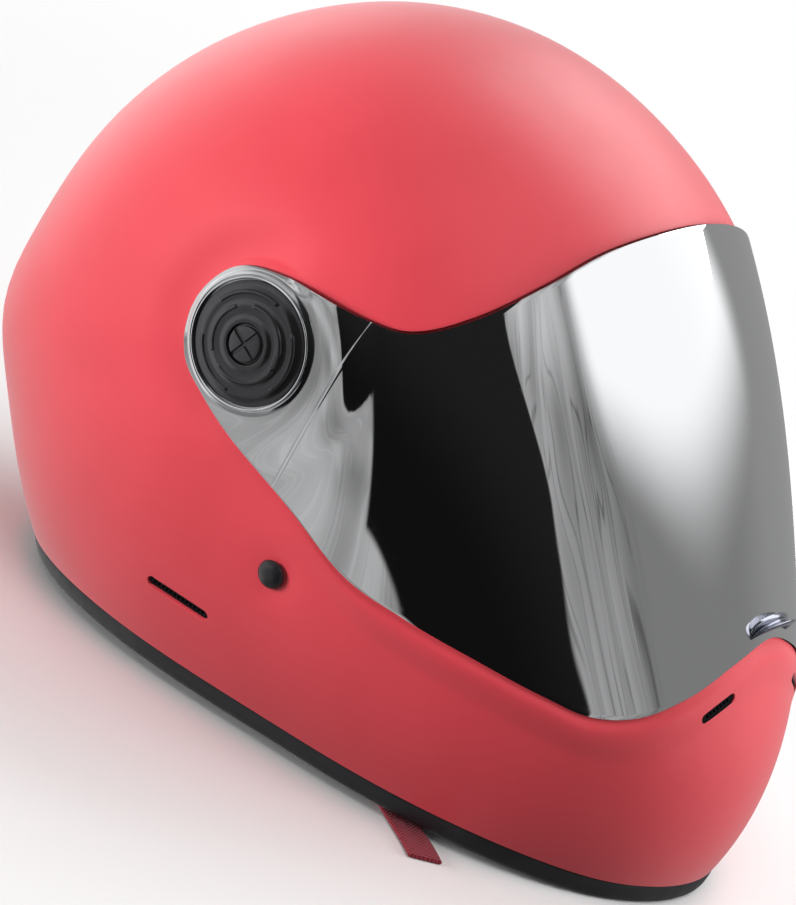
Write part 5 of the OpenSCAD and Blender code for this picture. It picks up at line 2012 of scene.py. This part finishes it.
def make_cushions(lining: Lining) -> list[Cushion]:
    """The comfort cushions in their order from the brow back, then the cheeks."""

    def rounded(grid: Callable) -> Callable:
        """The same grid with its four corners rounded."""
        def bowed(a: np.ndarray, b: np.ndarray, h: np.ndarray) -> np.ndarray:
            """Grid points whose shares are drawn in towards the corners."""
            u, v = 2 * np.asarray(a) - 1, 2 * np.asarray(b) - 1
            near_a = (1 + u * np.sqrt(1 - 0.36 * v**4)) / 2
            near_b = (1 + v * np.sqrt(1 - 0.18 * u**4)) / 2
            return grid(near_a, near_b, h)
        return bowed

    def top(r0: float, r1: float, c: float, gap: float) -> Callable:
        """A cushion's grid between two liner rows and as many stations to each side."""
        return rounded(lambda a, b, h: lining.on_lining(blend(r0, r1, a), blend(-c, c, b), gap + h))

    def cheek(side: Side) -> Callable:
        """A cheek cushion's grid along the liner's side."""
        return rounded(lambda a, b, h: lining.on_wall(
            blend(10.0, 17.0, b), blend(0.14, 0.86, a), h, side.value))

    near, nape = lining.pad_gap, lining.nape_gap
    thirds, quarters = (0.33, 0.67), (0.25, 0.5, 0.75)
    # Name, node, height, grid, the two sets of sewn lines, filling and whether the cloth is a knit
    rows = [
        ("brow", "brow_pad", 8.0, top(6.5, 8, 4, near), quarters, (), 0.75, False),
        ("crown", "crown_pad", 8.0, top(8.5, 12.5, 2.5, near), thirds, thirds, 0.75, True),
        ("back", "back_pad", 8.0, top(13.5, 17, 4, nape), quarters, (0.5,), 0.75, True),
        ("neck", "neck_roll", 10.0, top(17.5, 19.25, 6, nape), (0.2, 0.4, 0.6, 0.8), (), 0.75,
         False),
    ]
    made = [Cushion(f"{row[0]}_cushion", *row[1:], lining=lining) for row in rows]
    for side in Side:
        made.append(Cushion(f"cheek_cushion_{side.word}", f"cheek_pad_{side.word}", 17.0,
                            cheek(side), (0.5,), (0.3, 0.7), 0.85, lining=lining))
    return made


def dress_cushions(cushions: Sequence[Cushion], looks: Looks) -> None:
    """Builds the cushions, runs their Cloth together and dresses them and their bound edges."""
    for cushion in cushions:
        cushion.start()
    for step in range(1, CLOTH_FRAMES + 1):
        bpy.context.scene.frame_set(step)
    for cushion in cushions:
        cushion.settle()
    bpy.context.scene.frame_set(1)
    for cushion in cushions:
        look = looks["pad_knit" if cushion.knit else "pad_cloth"]
        dress(cushion.body, look, "helmet", [cushion.node])
        dress(cushion.piping(), looks["pad_cloth"], "helmet")


def dress_harness(harness: Harness, looks: Looks) -> None:
    """Builds and dresses the chin strap's two rings, its snap and its pull tab."""
    for word, height in (("lower", harness.ring_low), ("upper", harness.ring_high)):
        ring = harness.ring(f"ring_{word}_wire", height)
        dress(ring, looks["bright_steel"], f"ring_{word}", [f"d_ring_{word}"])
    dress(harness.snap(), looks["bright_steel"], "helmet", ["strap_snap"])
    dress(harness.pull(), looks["red_webbing"], "helmet", ["pull_tab"])


def main() -> None:
    """Builds the helmet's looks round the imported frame."""
    logging.basicConfig(level=logging.INFO, format="%(name)s: %(message)s")
    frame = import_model()
    bpy.context.scene.view_settings.view_transform = "Standard"
    studio = Studio()
    studio.camera()

    skin = Skin()
    LOG.info("hinge lies at y %.4f mm", skin.hinge_y)
    looks = {name: finish.material(name) for name, finish in FINISHES.items()}
    harness = Harness(skin)
    dress_hard(skin, harness, looks)
    dress_cushions(make_cushions(Lining(skin)), looks)
    dress_harness(harness, looks)
    for finish, names in CARRIED:
        for name in names:
            for side in Side:
                node = frame["nodes"][f"{name}_{side.word}"]
                node.data.materials.clear()
                node.data.materials.append(looks[finish])
                LOG.info("%s keeps its solid", node.name)

    studio.build()


if __name__ == "__main__":
    main()
